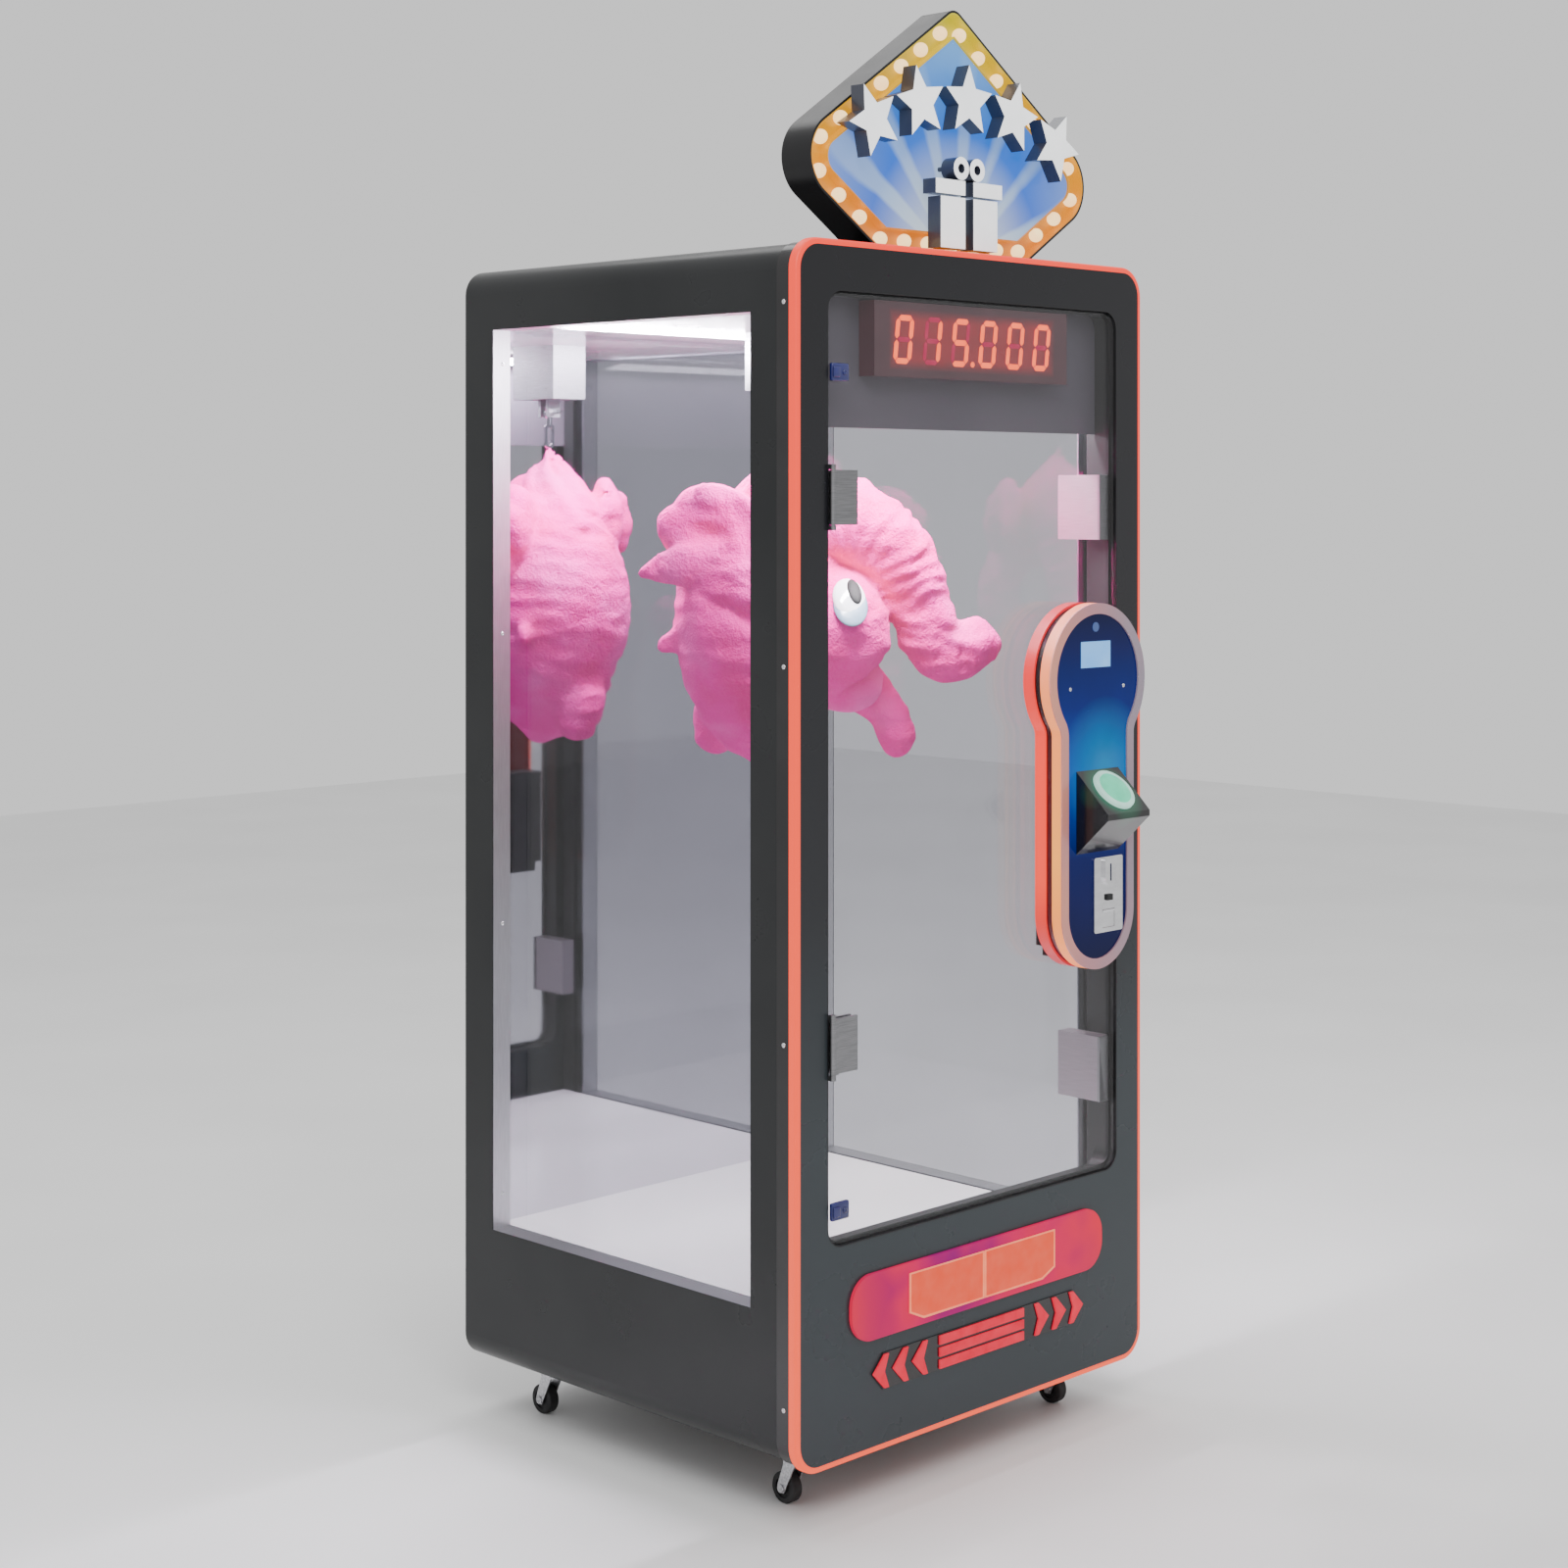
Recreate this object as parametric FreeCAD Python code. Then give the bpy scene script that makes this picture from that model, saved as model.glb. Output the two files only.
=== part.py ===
import FreeCAD
import Part
import math
import os

Vector = FreeCAD.Vector

# Everything is drawn with the front plane of the cabinet at y = 0, +Y to the rear, x = 0 on the
# centre line and z = 0 on the floor.  Saving moves each piece so that the machine is centred in Y.

# ---- cabinet body -------------------------------------------------------------------------------
CASTER_HEIGHT = 88.0        # floor to the underside of the body
BODY_W = 863.0              # over the light strip
BODY_H = 1900.0
BODY_D = 812.0
CORNER_R = 50.0
STRIP_FACE = 10.0           # light strip, seen from the front
STRIP_DEPTH = 15.5
STRIP_EDGE_R = 5.0
BAND_DEPTH = 31.0           # black band behind the light strip
BAND_INSET = 5.0
SHELL_INSET = 7.0
SHEET = 2.0
FRONT_SHEET = 3.0
REAR_SHEET = 3.0
CHASSIS_INSET = 14.5        # shell face to chassis face
CHASSIS_LIFT = 15.0         # shell underside to chassis underside
TUBE = 30.0
TUBE_WALL = 2.0

# ---- front opening and door ---------------------------------------------------------------------
OPEN_W = 720.0
OPEN_Z0 = CASTER_HEIGHT + 340.0
OPEN_TOP_GAP = 80.0         # opening's top below the body's top
OPEN_H = CASTER_HEIGHT + BODY_H - OPEN_TOP_GAP - OPEN_Z0
OPEN_R = 30.0
LINER_SHEET = 2.0
LINER_DEPTH = 47.0
STOP_WIDTH = 7.0
STOP_SHEET = 2.0
GASKET_T = 1.2
GASKET_W = 6.0
GASKET_GAP = 0.3
GLASS_T = 8.0
GLASS_SETBACK = 3.0
GLASS_GAP = 3.0
HINGE_PLATE_W = 55.0
HINGE_PLATE_H = 85.0
HINGE_PLATE_T = 6.0
HINGE_BACK_T = 5.0
HINGE_AXIS_INSET = 4.0      # pivot line, inside the opening edge
HINGE_AXIS_FORWARD = 6.0    # pivot line, in front of the front plane
HINGE_BARREL_R = 5.0
HINGE_PIN_R = 2.5
HINGE_LUG = 8.0
HINGE_GAP = 0.4
HINGE_LEAF_T = 1.6
UPPER_HINGE_Z = OPEN_Z0 + OPEN_H - 320.0
LOWER_HINGE_Z = OPEN_Z0 + 311.0
PIN_CLEARANCE = 0.2
LOCK_H = 112.0
LOCK_DEPTH = 88.0
LOCK_W = 30.0
LOCK_GAP = 0.5
STRIKE_W = 24.0
STRIKE_T = 4.7
UPPER_LOCK_Z = OPEN_Z0 + OPEN_H - 337.0
LOWER_LOCK_Z = OPEN_Z0 + 171.0

# ---- prize chamber ------------------------------------------------------------------------------
WINDOW_Y0 = 106.0
WINDOW_LENGTH = 632.0
WINDOW_Z0 = CASTER_HEIGHT + 241.0
WINDOW_TOP_GAP = 112.0      # window's top below the body's top
WINDOW_H = CASTER_HEIGHT + BODY_H - WINDOW_TOP_GAP - WINDOW_Z0
REVEAL = 37.0
REVEAL_SHEET = 3.0
SIDE_GLASS_T = 4.0
FLOOR_TOP = CASTER_HEIGHT + 240.0
CEILING_Z = CASTER_HEIGHT + BODY_H - 110.0
LINING_T = 6.0
MIRROR_T = 5.0
REAR_CAVITY = 34.0          # mirror face to rear panel
HEADER_Z = CASTER_HEIGHT + BODY_H - 290.0
HEADER_TOP_GAP = 28.0
HEADER_T = 3.0

# ---- display ------------------------------------------------------------------------------------
DISPLAY_W = 482.0
DISPLAY_H = 120.0
DISPLAY_TOP_GAP = 8.0
DISPLAY_SETBACK = 13.5
DIGIT_COUNT = 6
DIGIT_PITCH = 69.0
DIGIT_W = 42.0
DIGIT_H = 78.0
DIGIT_BAR = 9.0
DIGIT_GAP = 1.2
DIGIT_SLANT = math.tan(math.radians(7.0))
DIGIT_T = 0.8
SHOWN_DIGITS = (0, 1, 5, 0, 0, 0)
POINT_AFTER = 2
POINT_R = 4.5

# ---- lamps on the lower panel -------------------------------------------------------------------
LAMP_W = 626.0
LAMP_H = 104.0
LAMP_R = 45.0
LAMP_Z0 = CASTER_HEIGHT + 180.0
LAMP_T = 6.0
INNER_LAMP_W = 178.0
INNER_LAMP_H = 75.0
INNER_LAMP_Z0 = CASTER_HEIGHT + 192.0
INNER_LAMP_SPLIT = 5.0
INNER_LAMP_CUT = 32.0
INNER_LAMP_CUT_H = 14.0
INNER_LAMP_T = 2.0
ARROW_W = 528.0
ARROW_H = 57.0
ARROW_Z0 = CASTER_HEIGHT + 96.0
ARROW_PLATE_T = 2.0
ARROW_LENS_T = 3.0
ARROW_LENS_H = 53.0
ARROW_BARS = 3
ARROW_BARS_W = 211.0
ARROW_BAR_GAP = 5.0
CHEVRONS = 3
CHEVRON_PITCH = 46.0
CHEVRON_END = 10.0          # width of a chevron at its two ends
CHEVRON_MIDDLE = 26.0       # width of a chevron at its point
CHEVRON_REACH = 36.0
CHEVRON_START = 29.0

# ---- sign ---------------------------------------------------------------------------------------
SIGN_HALF_W = 399.0         # side corners, before they are rounded
SIGN_APEX = 417.0           # apex above the shell's top, before it is rounded
SIGN_SHOULDER = 144.0       # side corners above the shell's top
SIGN_FOOT_HALF = 178.0
SIGN_APEX_R = 26.0
SIGN_SIDE_R = 70.0
SIGN_FRONT = 57.0
SIGN_DEPTH = 62.0
SIGN_WALL = 4.0
SIGN_BACK = 3.0
BORDER_W = 38.0
BORDER_DEPTH = 20.0
BORDER_SHEET = 2.0
FIELD_SETBACK = 4.0
FIELD_T = 3.0
BULB_R = 12.0
BULB_SINK = 3.0
BULB_PITCH = 58.0
EMBLEM_T = 28.0
EMBLEM_GAP = 5.0
STAR_COUNT = 5
STAR_R = 60.0
STAR_WAIST = 0.46
STAR_ARC_R = 520.0
STAR_STEP = math.radians(13.0)
STAR_ARC_TOP = 258.0        # middle star above the shell's top
BOSS_R = 4.0
GIFT_W = 142.0
GIFT_H = 84.0
GIFT_Z0 = 14.0
GIFT_GAP = 4.0
GIFT_LID_W = 166.0
GIFT_LID_H = 24.0
GIFT_RIBBON = 20.0
GIFT_BOW_R = 19.0
GIFT_BOW_HOLE = 8.0
GIFT_BOSS_Z = 62.0
BOW_BOSS_R = 4.0

# ---- console on the door ------------------------------------------------------------------------
CONSOLE_X = OPEN_W / 2 - 125.5
CONSOLE_RING_Z = CASTER_HEIGHT + 1194.0
CONSOLE_FOOT_Z = CASTER_HEIGHT + 803.0
CONSOLE_RING_R = 128.0
CONSOLE_NECK = 97.0
CONSOLE_FILLET = 30.0
CONSOLE_GAP = 2.0           # front plane to the console's rear strip
REAR_STRIP = 22.0
STRIP_BETWEEN = 14.0
FRONT_STRIP = 19.0
STRIP_THICK = 4.0
BEZEL_T = 3.0
BEZEL_W = 18.0
CONSOLE_WALL = 3.0
FACE_T = 3.0
PEDESTAL_INSET = 14.0
SCREEN_W = 78.0
SCREEN_H = 44.0
SCREEN_X = CONSOLE_X - 4.5
SCREEN_Z = CONSOLE_RING_Z + CONSOLE_RING_R - 86.0
SCREEN_T = 1.5
SENSOR_R = 8.0
SENSOR_Z = CONSOLE_RING_Z + CONSOLE_RING_R - 48.0

# ---- start button -------------------------------------------------------------------------------
HOUSING_X = CONSOLE_X + 0.5
HOUSING_W = 113.0
HOUSING_TOP_Z = CASTER_HEIGHT + 1042.0
HOUSING_FOOT_Z = CASTER_HEIGHT + 903.0
HOUSING_NOSE = 124.0        # front-most edge, in front of the front plane
HOUSING_NOSE_H = 10.0
HOUSING_WALL = 3.0
RING_R = 40.0
RING_RISE = 7.0
RING_SLEEVE = 22.0
RING_SLEEVE_T = 2.5
BUTTON_R = 31.0
BUTTON_GAP = 0.5
BUTTON_RISE = 8.0
BUTTON_CROWN = 7.0
BUTTON_STEM = 16.0
BUTTON_TRAVEL = 4.0

# ---- coin acceptor ------------------------------------------------------------------------------
COIN_PLATE_X = CONSOLE_X + 27.5
COIN_PLATE_W = 77.0
COIN_PLATE_H = 127.0
COIN_PLATE_Z0 = CASTER_HEIGHT + 766.0
COIN_PLATE_T = 3.0
COIN_GUIDE_W = 30.0
COIN_GUIDE_H = 44.0
COIN_GUIDE_T = 5.0
COIN_SLOT_W = 3.4
COIN_SLOT_H = 29.0
REJECT_W = 14.0
REJECT_H = 10.0
REJECT_RISE = 4.0
REJECT_DEPTH = 14.0
REJECT_GAP = 0.4
FLAP_W = 32.0
FLAP_H = 30.0
FLAP_T = 1.5
FLAP_GAP = 0.5
FLAP_PIN_R = 1.2
FLAP_Z0 = 8.0               # flap's foot above the plate's foot
THROAT_W = 52.0
THROAT_H = 80.0
THROAT_GAP = 2.0
COIN_MECH_W = 90.0
COIN_MECH_H = 190.0
COIN_MECH_DEPTH = 50.0
COIN_TRAY_W = 63.0
COIN_TRAY_DROP = 19.0       # tray's depth below the coin mechanism
COIN_WALL = 2.0

# ---- prize and its release ----------------------------------------------------------------------
PRIZE_Y = 450.0
RELEASE_PIN_Z = CEILING_Z - 126.0
RELEASE_PIN_R = 4.0
RELEASE_PIN_L = 52.0
RELEASE_STROKE = 26.0
RELEASE_W = 80.0
RELEASE_L = 120.0
RELEASE_BODY_Z = CEILING_Z - 102.0
CHEEK_T = 8.0
CHEEK_GAP = 16.0
CHEEK_DROP = 34.0
EYE_R = 9.0
EYE_WIRE = 2.5
EYE_PLAY = 0.3
SNAP_W = 22.0
SNAP_H = 44.0
SNAP_WIRE = 2.6
SWIVEL_R = 6.0
SWIVEL_H = 14.0
PRIZE_YAW = math.radians(45.0)
PRIZE_PLAY = 0.3
PRIZE_TIP_R = 10.0
# Each ball is (to the right, to the front, below the hook, radius) before the prize is turned.
PRIZE_BALLS = (
    (0, 0, PRIZE_TIP_R + PRIZE_PLAY, PRIZE_TIP_R), (0, 0, 60, 45), (-6, 0, 120, 88),     # gathered top
    (-25, 0, 195, 125), (-32, 0, 293, 160), (-45, 0, 418, 112),                          # body
    (45, 20, 140, 86), (110, 18, 150, 76), (168, 14, 180, 67), (222, 10, 243, 58),       # trunk
    (240, 8, 292, 55), (246, 5, 340, 53), (286, 2, 357, 48), (322, 0, 361, 44),
    (-105, 0, 153, 70), (-170, 0, 166, 48), (-205, 0, 208, 36),                          # ear
    (95, -40, 385, 54), (150, -50, 425, 44), (180, -55, 468, 38), (195, -60, 511, 34),   # leg
)
PRIZE_SPIN = 37.0           # turn between the balls' seams, in degrees

# ---- casters ------------------------------------------------------------------------------------
CASTER_X = BODY_W / 2 - 100.5
CASTER_Y0 = 100.0
CASTER_Y1 = 690.0
WHEEL_R = 25.0
WHEEL_W = 20.0
HUB_BORE_R = 4.2
AXLE_R = 4.0
FORK_T = 2.5
FORK_SIDE_GAP = 1.5
FORK_TRAIL = 18.0
FORK_TOP_Z = 70.5
FORK_PLATE_R = 19.0
RACE_R = 18.0
RACE_GAP = 0.5
KINGPIN_R = 4.0
KINGPIN_HEAD_R = 8.0
KINGPIN_HEAD_T = 3.0
CASTER_PLATE_W = 58.0
CASTER_PLATE_T = 3.0
CASTER_PAD_W = 66.0
CASTER_PAD_T = 12.0

# ---- rear hatch, inlet and electronics ----------------------------------------------------------
HATCH_W = 500.0
HATCH_H = 120.0
HATCH_Z0 = 156.0
HATCH_FLANGE = 15.0
HATCH_GAP = 3.0
HATCH_HINGE_GAP = 6.5
HATCH_AXIS_IN = 6.0
HATCH_AXIS_DEEP = 8.0
HATCH_PIN_R = 3.0
HATCH_PIN_L = 22.0
HATCH_EAR_T = 8.0
HATCH_EAR_GAP = 4.0
LOCK_X = 225.0
LOCK_R = 9.3
LOCK_L = 21.5
CAM_W = 16.0
CAM_REACH = 38.0
CAM_T = 3.0
KEEPER_GAP = 1.0
INLET_X = BODY_W / 2 - 111.5
INLET_Z = 216.0
INLET_W = 27.0
INLET_H = 20.0
INLET_FLANGE = 8.0
INLET_FLANGE_T = 3.0
INLET_L = 26.0
INLET_CAVITY = 17.0
INLET_WALL = 1.6
INLET_PIN_L = 9.0
SUPPLY_SIZE = (200.0, 110.0, 52.0)
BOARD_BOX_SIZE = (180.0, 140.0, 45.0)

# ---- places worked out from the sizes above -----------------------------------------------------
BODY_Z0 = CASTER_HEIGHT
BODY_Z1 = BODY_Z0 + BODY_H
HALF_W = BODY_W / 2
PANEL_HALF = HALF_W - STRIP_FACE
SHELL_HALF = HALF_W - SHELL_INSET
SHELL_Z0 = BODY_Z0 + SHELL_INSET
SHELL_Z1 = BODY_Z1 - SHELL_INSET
SHELL_Y0 = STRIP_DEPTH + BAND_DEPTH
SHELL_Y1 = BODY_D - REAR_SHEET
SEAM = CORNER_R - SHELL_INSET
FRAME_HALF = SHELL_HALF - CHASSIS_INSET
FRAME_Z0 = SHELL_Z0 + CHASSIS_LIFT
FRAME_Z1 = SHELL_Z1 - CHASSIS_LIFT
FRAME_Y0 = LINER_DEPTH + HEADER_T
FRAME_Y1 = SHELL_Y1 - REAR_SHEET
CHAMBER_HALF = FRAME_HALF - TUBE
MIRROR_Y = BODY_D - REAR_SHEET - REAR_CAVITY - MIRROR_T
OPEN_HALF = OPEN_W / 2
OPEN_Z1 = OPEN_Z0 + OPEN_H
WINDOW_Y1 = WINDOW_Y0 + WINDOW_LENGTH
WINDOW_Z1 = WINDOW_Z0 + WINDOW_H
GLASS_BACK = GLASS_SETBACK + GLASS_T
GLASS_HALF = OPEN_HALF - GLASS_GAP
STOP_Y = GLASS_BACK + GASKET_GAP + GASKET_T
HINGE_X = -OPEN_HALF + HINGE_AXIS_INSET
HINGE_Y = -HINGE_AXIS_FORWARD
CONSOLE_BACK = -CONSOLE_GAP
REAR_STRIP_Y = CONSOLE_BACK - REAR_STRIP
FRONT_STRIP_Y1 = REAR_STRIP_Y - STRIP_BETWEEN
BEZEL_Y1 = FRONT_STRIP_Y1 - FRONT_STRIP
BEZEL_Y0 = BEZEL_Y1 - BEZEL_T
FACE_Y = BEZEL_Y1
COIN_PLATE_Z1 = COIN_PLATE_Z0 + COIN_PLATE_H
COIN_PLATE_Y = FACE_Y - COIN_PLATE_T
COIN_FLAP_Y = COIN_PLATE_Y + COIN_PLATE_T / 2
COIN_FLAP_Z = COIN_PLATE_Z0 + FLAP_Z0 + FLAP_H - FLAP_PIN_R - 1
EYE_Z = RELEASE_PIN_Z + RELEASE_PIN_R + EYE_PLAY - (EYE_R - EYE_WIRE)
HOOK_FOOT_Z = EYE_Z - EYE_R - SWIVEL_H - SNAP_H
HATCH_X = -HATCH_W / 2 + HATCH_AXIS_IN
HATCH_Y = BODY_D - HATCH_AXIS_DEEP
HATCH_LOCK_Z = HATCH_Z0 + HATCH_H / 2
FRONT_Y = (HOUSING_NOSE - BODY_D) / 2


# ---- small helpers ------------------------------------------------------------------------------
def block(x, y, z):
    """Box between the limits given for each axis."""
    return Part.makeBox(x[1] - x[0], y[1] - y[0], z[1] - z[0], Vector(x[0], y[0], z[0]))


def rod(start, end, radius):
    """Round bar between two points."""
    along = Vector(*end) - Vector(*start)
    return Part.makeCylinder(radius, along.Length, Vector(*start), along)


def outline(corners, y):
    """Closed wire in the plane at depth y, from corners (x, z, radius)."""
    points = [Vector(x, y, z) for x, z, radius in corners]
    bends = []
    for index, (x, z, radius) in enumerate(corners):
        before = (points[index - 1] - points[index]).normalize()
        after = (points[(index + 1) % len(points)] - points[index]).normalize()
        half = before.getAngle(after) / 2
        reach = radius / math.tan(half)
        middle = (before + after).normalize() * (radius / math.sin(half) - radius)
        bends.append([points[index] + step for step in (before * reach, middle, after * reach)])
    edges = []
    for index, bend in enumerate(bends):
        if corners[index][2] > 0:
            edges.append(Part.Arc(*bend).toShape())
        edges.append(Part.LineSegment(bend[2], bends[(index + 1) % len(bends)][0]).toShape())
    return Part.Wire(edges)


def plate(corners, y0, y1):
    """Flat piece with the outline of the corners, between the depths y0 and y1."""
    return Part.Face(outline(corners, y0)).extrude(Vector(0, y1 - y0, 0))


def rounded(half, z0, z1, radius):
    """Corners of an upright rectangle centred on x = 0."""
    return [(-half, z0, radius), (half, z0, radius), (half, z1, radius), (-half, z1, radius)]


def inset(half, z0, z1, radius, by):
    """The same rectangle, moved inwards on every side."""
    return rounded(half - by, z0 + by, z1 - by, max(radius - by, 0.5))


def moved(shape, x, y, z):
    copy = shape.copy()
    copy.translate(Vector(x, y, z))
    return copy


def mirrored(shape):
    return shape.mirror(Vector(0, 0, 0), Vector(1, 0, 0))


def group(shapes):
    """Separate solids kept together in one piece."""
    return Part.Compound([solid for shape in shapes for solid in shape.Solids])


def united(shapes):
    whole = shapes[0]
    for shape in shapes[1:]:
        whole = whole.fuse(shape)
    return whole.removeSplitter()


# ---- shell, chassis and front -------------------------------------------------------------------
def shell_panels():
    """Bent sheet shell in four panels that meet at seams beside the rounded corners."""
    outer = (SHELL_HALF, SHELL_Z0, SHELL_Z1, SEAM)
    tube = plate(rounded(*outer), SHELL_Y0, SHELL_Y1).cut(
        plate(inset(*outer, SHEET), SHELL_Y0, SHELL_Y1))
    wide = (-BODY_W, BODY_W)
    deep = (0, BODY_D)
    low = SHELL_Z0 + SEAM
    high = SHELL_Z1 - SEAM
    window = block((0, BODY_W), (WINDOW_Y0, WINDOW_Y1), (WINDOW_Z0, WINDOW_Z1))
    right = tube.common(block((0, BODY_W), deep, (low, high))).cut(window)
    return {"base_cover": tube.common(block(wide, deep, (0, low))),
            "top_cover": tube.common(block(wide, deep, (high, 2 * BODY_H))),
            "right_side_panel": right,
            "left_side_panel": mirrored(right)}


def square_tube(x, y, z, axis):
    """Hollow square tube that fills the box x, y, z and runs along the axis number given."""
    spans = [x, y, z]
    inner = [span if index == axis else (span[0] + TUBE_WALL, span[1] - TUBE_WALL)
             for index, span in enumerate(spans)]
    return block(*spans).cut(block(*inner))


def chassis():
    """Welded frame: four posts, four levels of rails and a cross rail for the release."""
    outer = (FRAME_HALF - TUBE, FRAME_HALF)
    front = (FRAME_Y0, FRAME_Y0 + TUBE)
    rear = (FRAME_Y1 - TUBE, FRAME_Y1)
    between = (front[1], rear[0])
    tubes = []
    for y in (front, rear):
        post = square_tube(outer, y, (FRAME_Z0, FRAME_Z1), 2)
        tubes += [post, mirrored(post)]
    floor_rail = FLOOR_TOP - LINING_T - TUBE
    ceiling_rail = CEILING_Z + LINING_T
    for level in (FRAME_Z0, floor_rail, ceiling_rail, FRAME_Z1 - TUBE):
        height = (level, level + TUBE)
        side = square_tube(outer, between, height, 1)
        tubes += [side, mirrored(side)]
        for y in (front, rear):
            tubes.append(square_tube((-outer[0], outer[0]), y, height, 0))
    middle = (PRIZE_Y - TUBE / 2, PRIZE_Y + TUBE / 2)
    tubes.append(square_tube((-outer[0], outer[0]), middle, (ceiling_rail, ceiling_rail + TUBE), 0))
    feet = []
    for x in (-CASTER_X, CASTER_X):
        for y in (CASTER_Y0, CASTER_Y1):
            feet.append(block((x - CASTER_PAD_W / 2, x + CASTER_PAD_W / 2),
                              (y - CASTER_PAD_W / 2, y + CASTER_PAD_W / 2),
                              (SHELL_Z0 + SHEET, FRAME_Z0)))
    return group(tubes + feet)


def front_panel():
    """Front sheet with a returned edge and the opening for the door."""
    sheet = (PANEL_HALF, BODY_Z0 + STRIP_FACE, BODY_Z1 - STRIP_FACE, CORNER_R - STRIP_FACE)
    opening = rounded(OPEN_HALF + LINER_SHEET, OPEN_Z0 - LINER_SHEET, OPEN_Z1 + LINER_SHEET,
                      OPEN_R + LINER_SHEET)
    face = plate(rounded(*sheet), 0, FRONT_SHEET).cut(plate(opening, 0, FRONT_SHEET))
    edge = plate(rounded(*sheet), FRONT_SHEET, SHELL_Y0).cut(
        plate(inset(*sheet, FRONT_SHEET), FRONT_SHEET, SHELL_Y0))
    return united([face, edge])


def light_strip():
    outer = (HALF_W, BODY_Z0, BODY_Z1, CORNER_R)
    body = plate(rounded(*outer), 0, STRIP_DEPTH)
    front_edges = [edge for edge in body.Edges if edge.BoundBox.YMax < 0.01]
    body = body.makeFillet(STRIP_EDGE_R, front_edges)
    return body.cut(plate(inset(*outer, STRIP_FACE), -1, STRIP_DEPTH + 1))


def edge_band():
    outer = (HALF_W - BAND_INSET, BODY_Z0 + BAND_INSET, BODY_Z1 - BAND_INSET, CORNER_R - BAND_INSET)
    return plate(rounded(*outer), STRIP_DEPTH, SHELL_Y0).cut(
        plate(inset(*outer, STRIP_FACE - BAND_INSET), STRIP_DEPTH, SHELL_Y0))


def opening_liner():
    """Liner of the opening with its stop, and the gasket that the glass closes on."""
    clear = (OPEN_HALF, OPEN_Z0, OPEN_Z1, OPEN_R)
    liner = plate(inset(*clear, -LINER_SHEET), 0, LINER_DEPTH).cut(
        plate(rounded(*clear), 0, LINER_DEPTH))
    stop = plate(rounded(*clear), STOP_Y, STOP_Y + STOP_SHEET).cut(
        plate(inset(*clear, STOP_WIDTH), STOP_Y, STOP_Y + STOP_SHEET))
    gasket = plate(inset(*clear, STOP_WIDTH - GASKET_W), STOP_Y - GASKET_T, STOP_Y).cut(
        plate(inset(*clear, STOP_WIDTH), STOP_Y - GASKET_T, STOP_Y))
    return group([united([liner, stop]), gasket])


def rear_panel():
    """Rear sheet with the hatch opening, the hatch's two ears and the keeper for its lock."""
    sheet = plate(rounded(SHELL_HALF, SHELL_Z0, SHELL_Z1, SEAM), SHELL_Y1, BODY_D)
    left = -HATCH_W / 2 - HATCH_HINGE_GAP
    right = HATCH_W / 2 + HATCH_GAP
    low = HATCH_Z0 - HATCH_GAP
    high = HATCH_Z0 + HATCH_H + HATCH_GAP
    sheet = sheet.cut(block((left, right), (SHELL_Y1, BODY_D), (low, high)))
    sheet = sheet.cut(block((INLET_X - INLET_W / 2, INLET_X + INLET_W / 2), (SHELL_Y1, BODY_D),
                            (INLET_Z - INLET_H / 2, INLET_Z + INLET_H / 2)))
    ears = []
    for z in (HATCH_Z0 - HATCH_EAR_GAP - HATCH_EAR_T, HATCH_Z0 + HATCH_H + HATCH_EAR_GAP):
        ear = block((HATCH_X - 10, HATCH_X + 10), (SHELL_Y1 - 12, SHELL_Y1), (z, z + HATCH_EAR_T))
        bore = rod((HATCH_X, HATCH_Y, z), (HATCH_X, HATCH_Y, z + HATCH_EAR_T),
                   HATCH_PIN_R + PIN_CLEARANCE)
        ears.append(ear.cut(bore))
    cam_y = SHELL_Y1 + FRONT_SHEET - LOCK_L + CAM_T
    keeper = block((right + 1, right + 15), (cam_y + KEEPER_GAP, SHELL_Y1),
                   (HATCH_LOCK_Z - 10, HATCH_LOCK_Z + 10))
    return united([sheet] + ears + [keeper])


# ---- prize chamber ------------------------------------------------------------------------------
def window_frames():
    """Reveal bars around both side windows."""
    x = (SHELL_HALF - SHEET - REVEAL, SHELL_HALF - SHEET)
    outer_y = (WINDOW_Y0 - REVEAL_SHEET, WINDOW_Y1 + REVEAL_SHEET)
    bars = []
    for z in (WINDOW_Z0 - REVEAL_SHEET, WINDOW_Z1):
        bars.append(block(x, outer_y, (z, z + REVEAL_SHEET)))
    for y in (WINDOW_Y0 - REVEAL_SHEET, WINDOW_Y1):
        bars.append(block(x, (y, y + REVEAL_SHEET), (WINDOW_Z0, WINDOW_Z1)))
    return group(bars + [mirrored(bar) for bar in bars])


def side_windows():
    face = SHELL_HALF - SHEET - REVEAL
    lap = TUBE / 2
    pane = block((face - SIDE_GLASS_T, face), (WINDOW_Y0 - lap, WINDOW_Y1 + lap),
                 (FLOOR_TOP, CEILING_Z))
    return group([pane, mirrored(pane)])


def linings():
    """Floor, ceiling, rear mirror and the header behind the display."""
    across = (-CHAMBER_HALF, CHAMBER_HALF)
    deep = (FRAME_Y0, MIRROR_Y)
    header = block(across, (LINER_DEPTH, FRAME_Y0), (HEADER_Z, FRAME_Z1 - HEADER_TOP_GAP))
    return {"floor_panel": block(across, deep, (FLOOR_TOP - LINING_T, FLOOR_TOP)),
            "ceiling_panel": block(across, deep, (CEILING_Z, CEILING_Z + LINING_T)),
            "back_mirror": block(across, (MIRROR_Y, MIRROR_Y + MIRROR_T),
                                 (FLOOR_TOP - LINING_T, CEILING_Z + LINING_T)),
            "header_panel": header}


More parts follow.
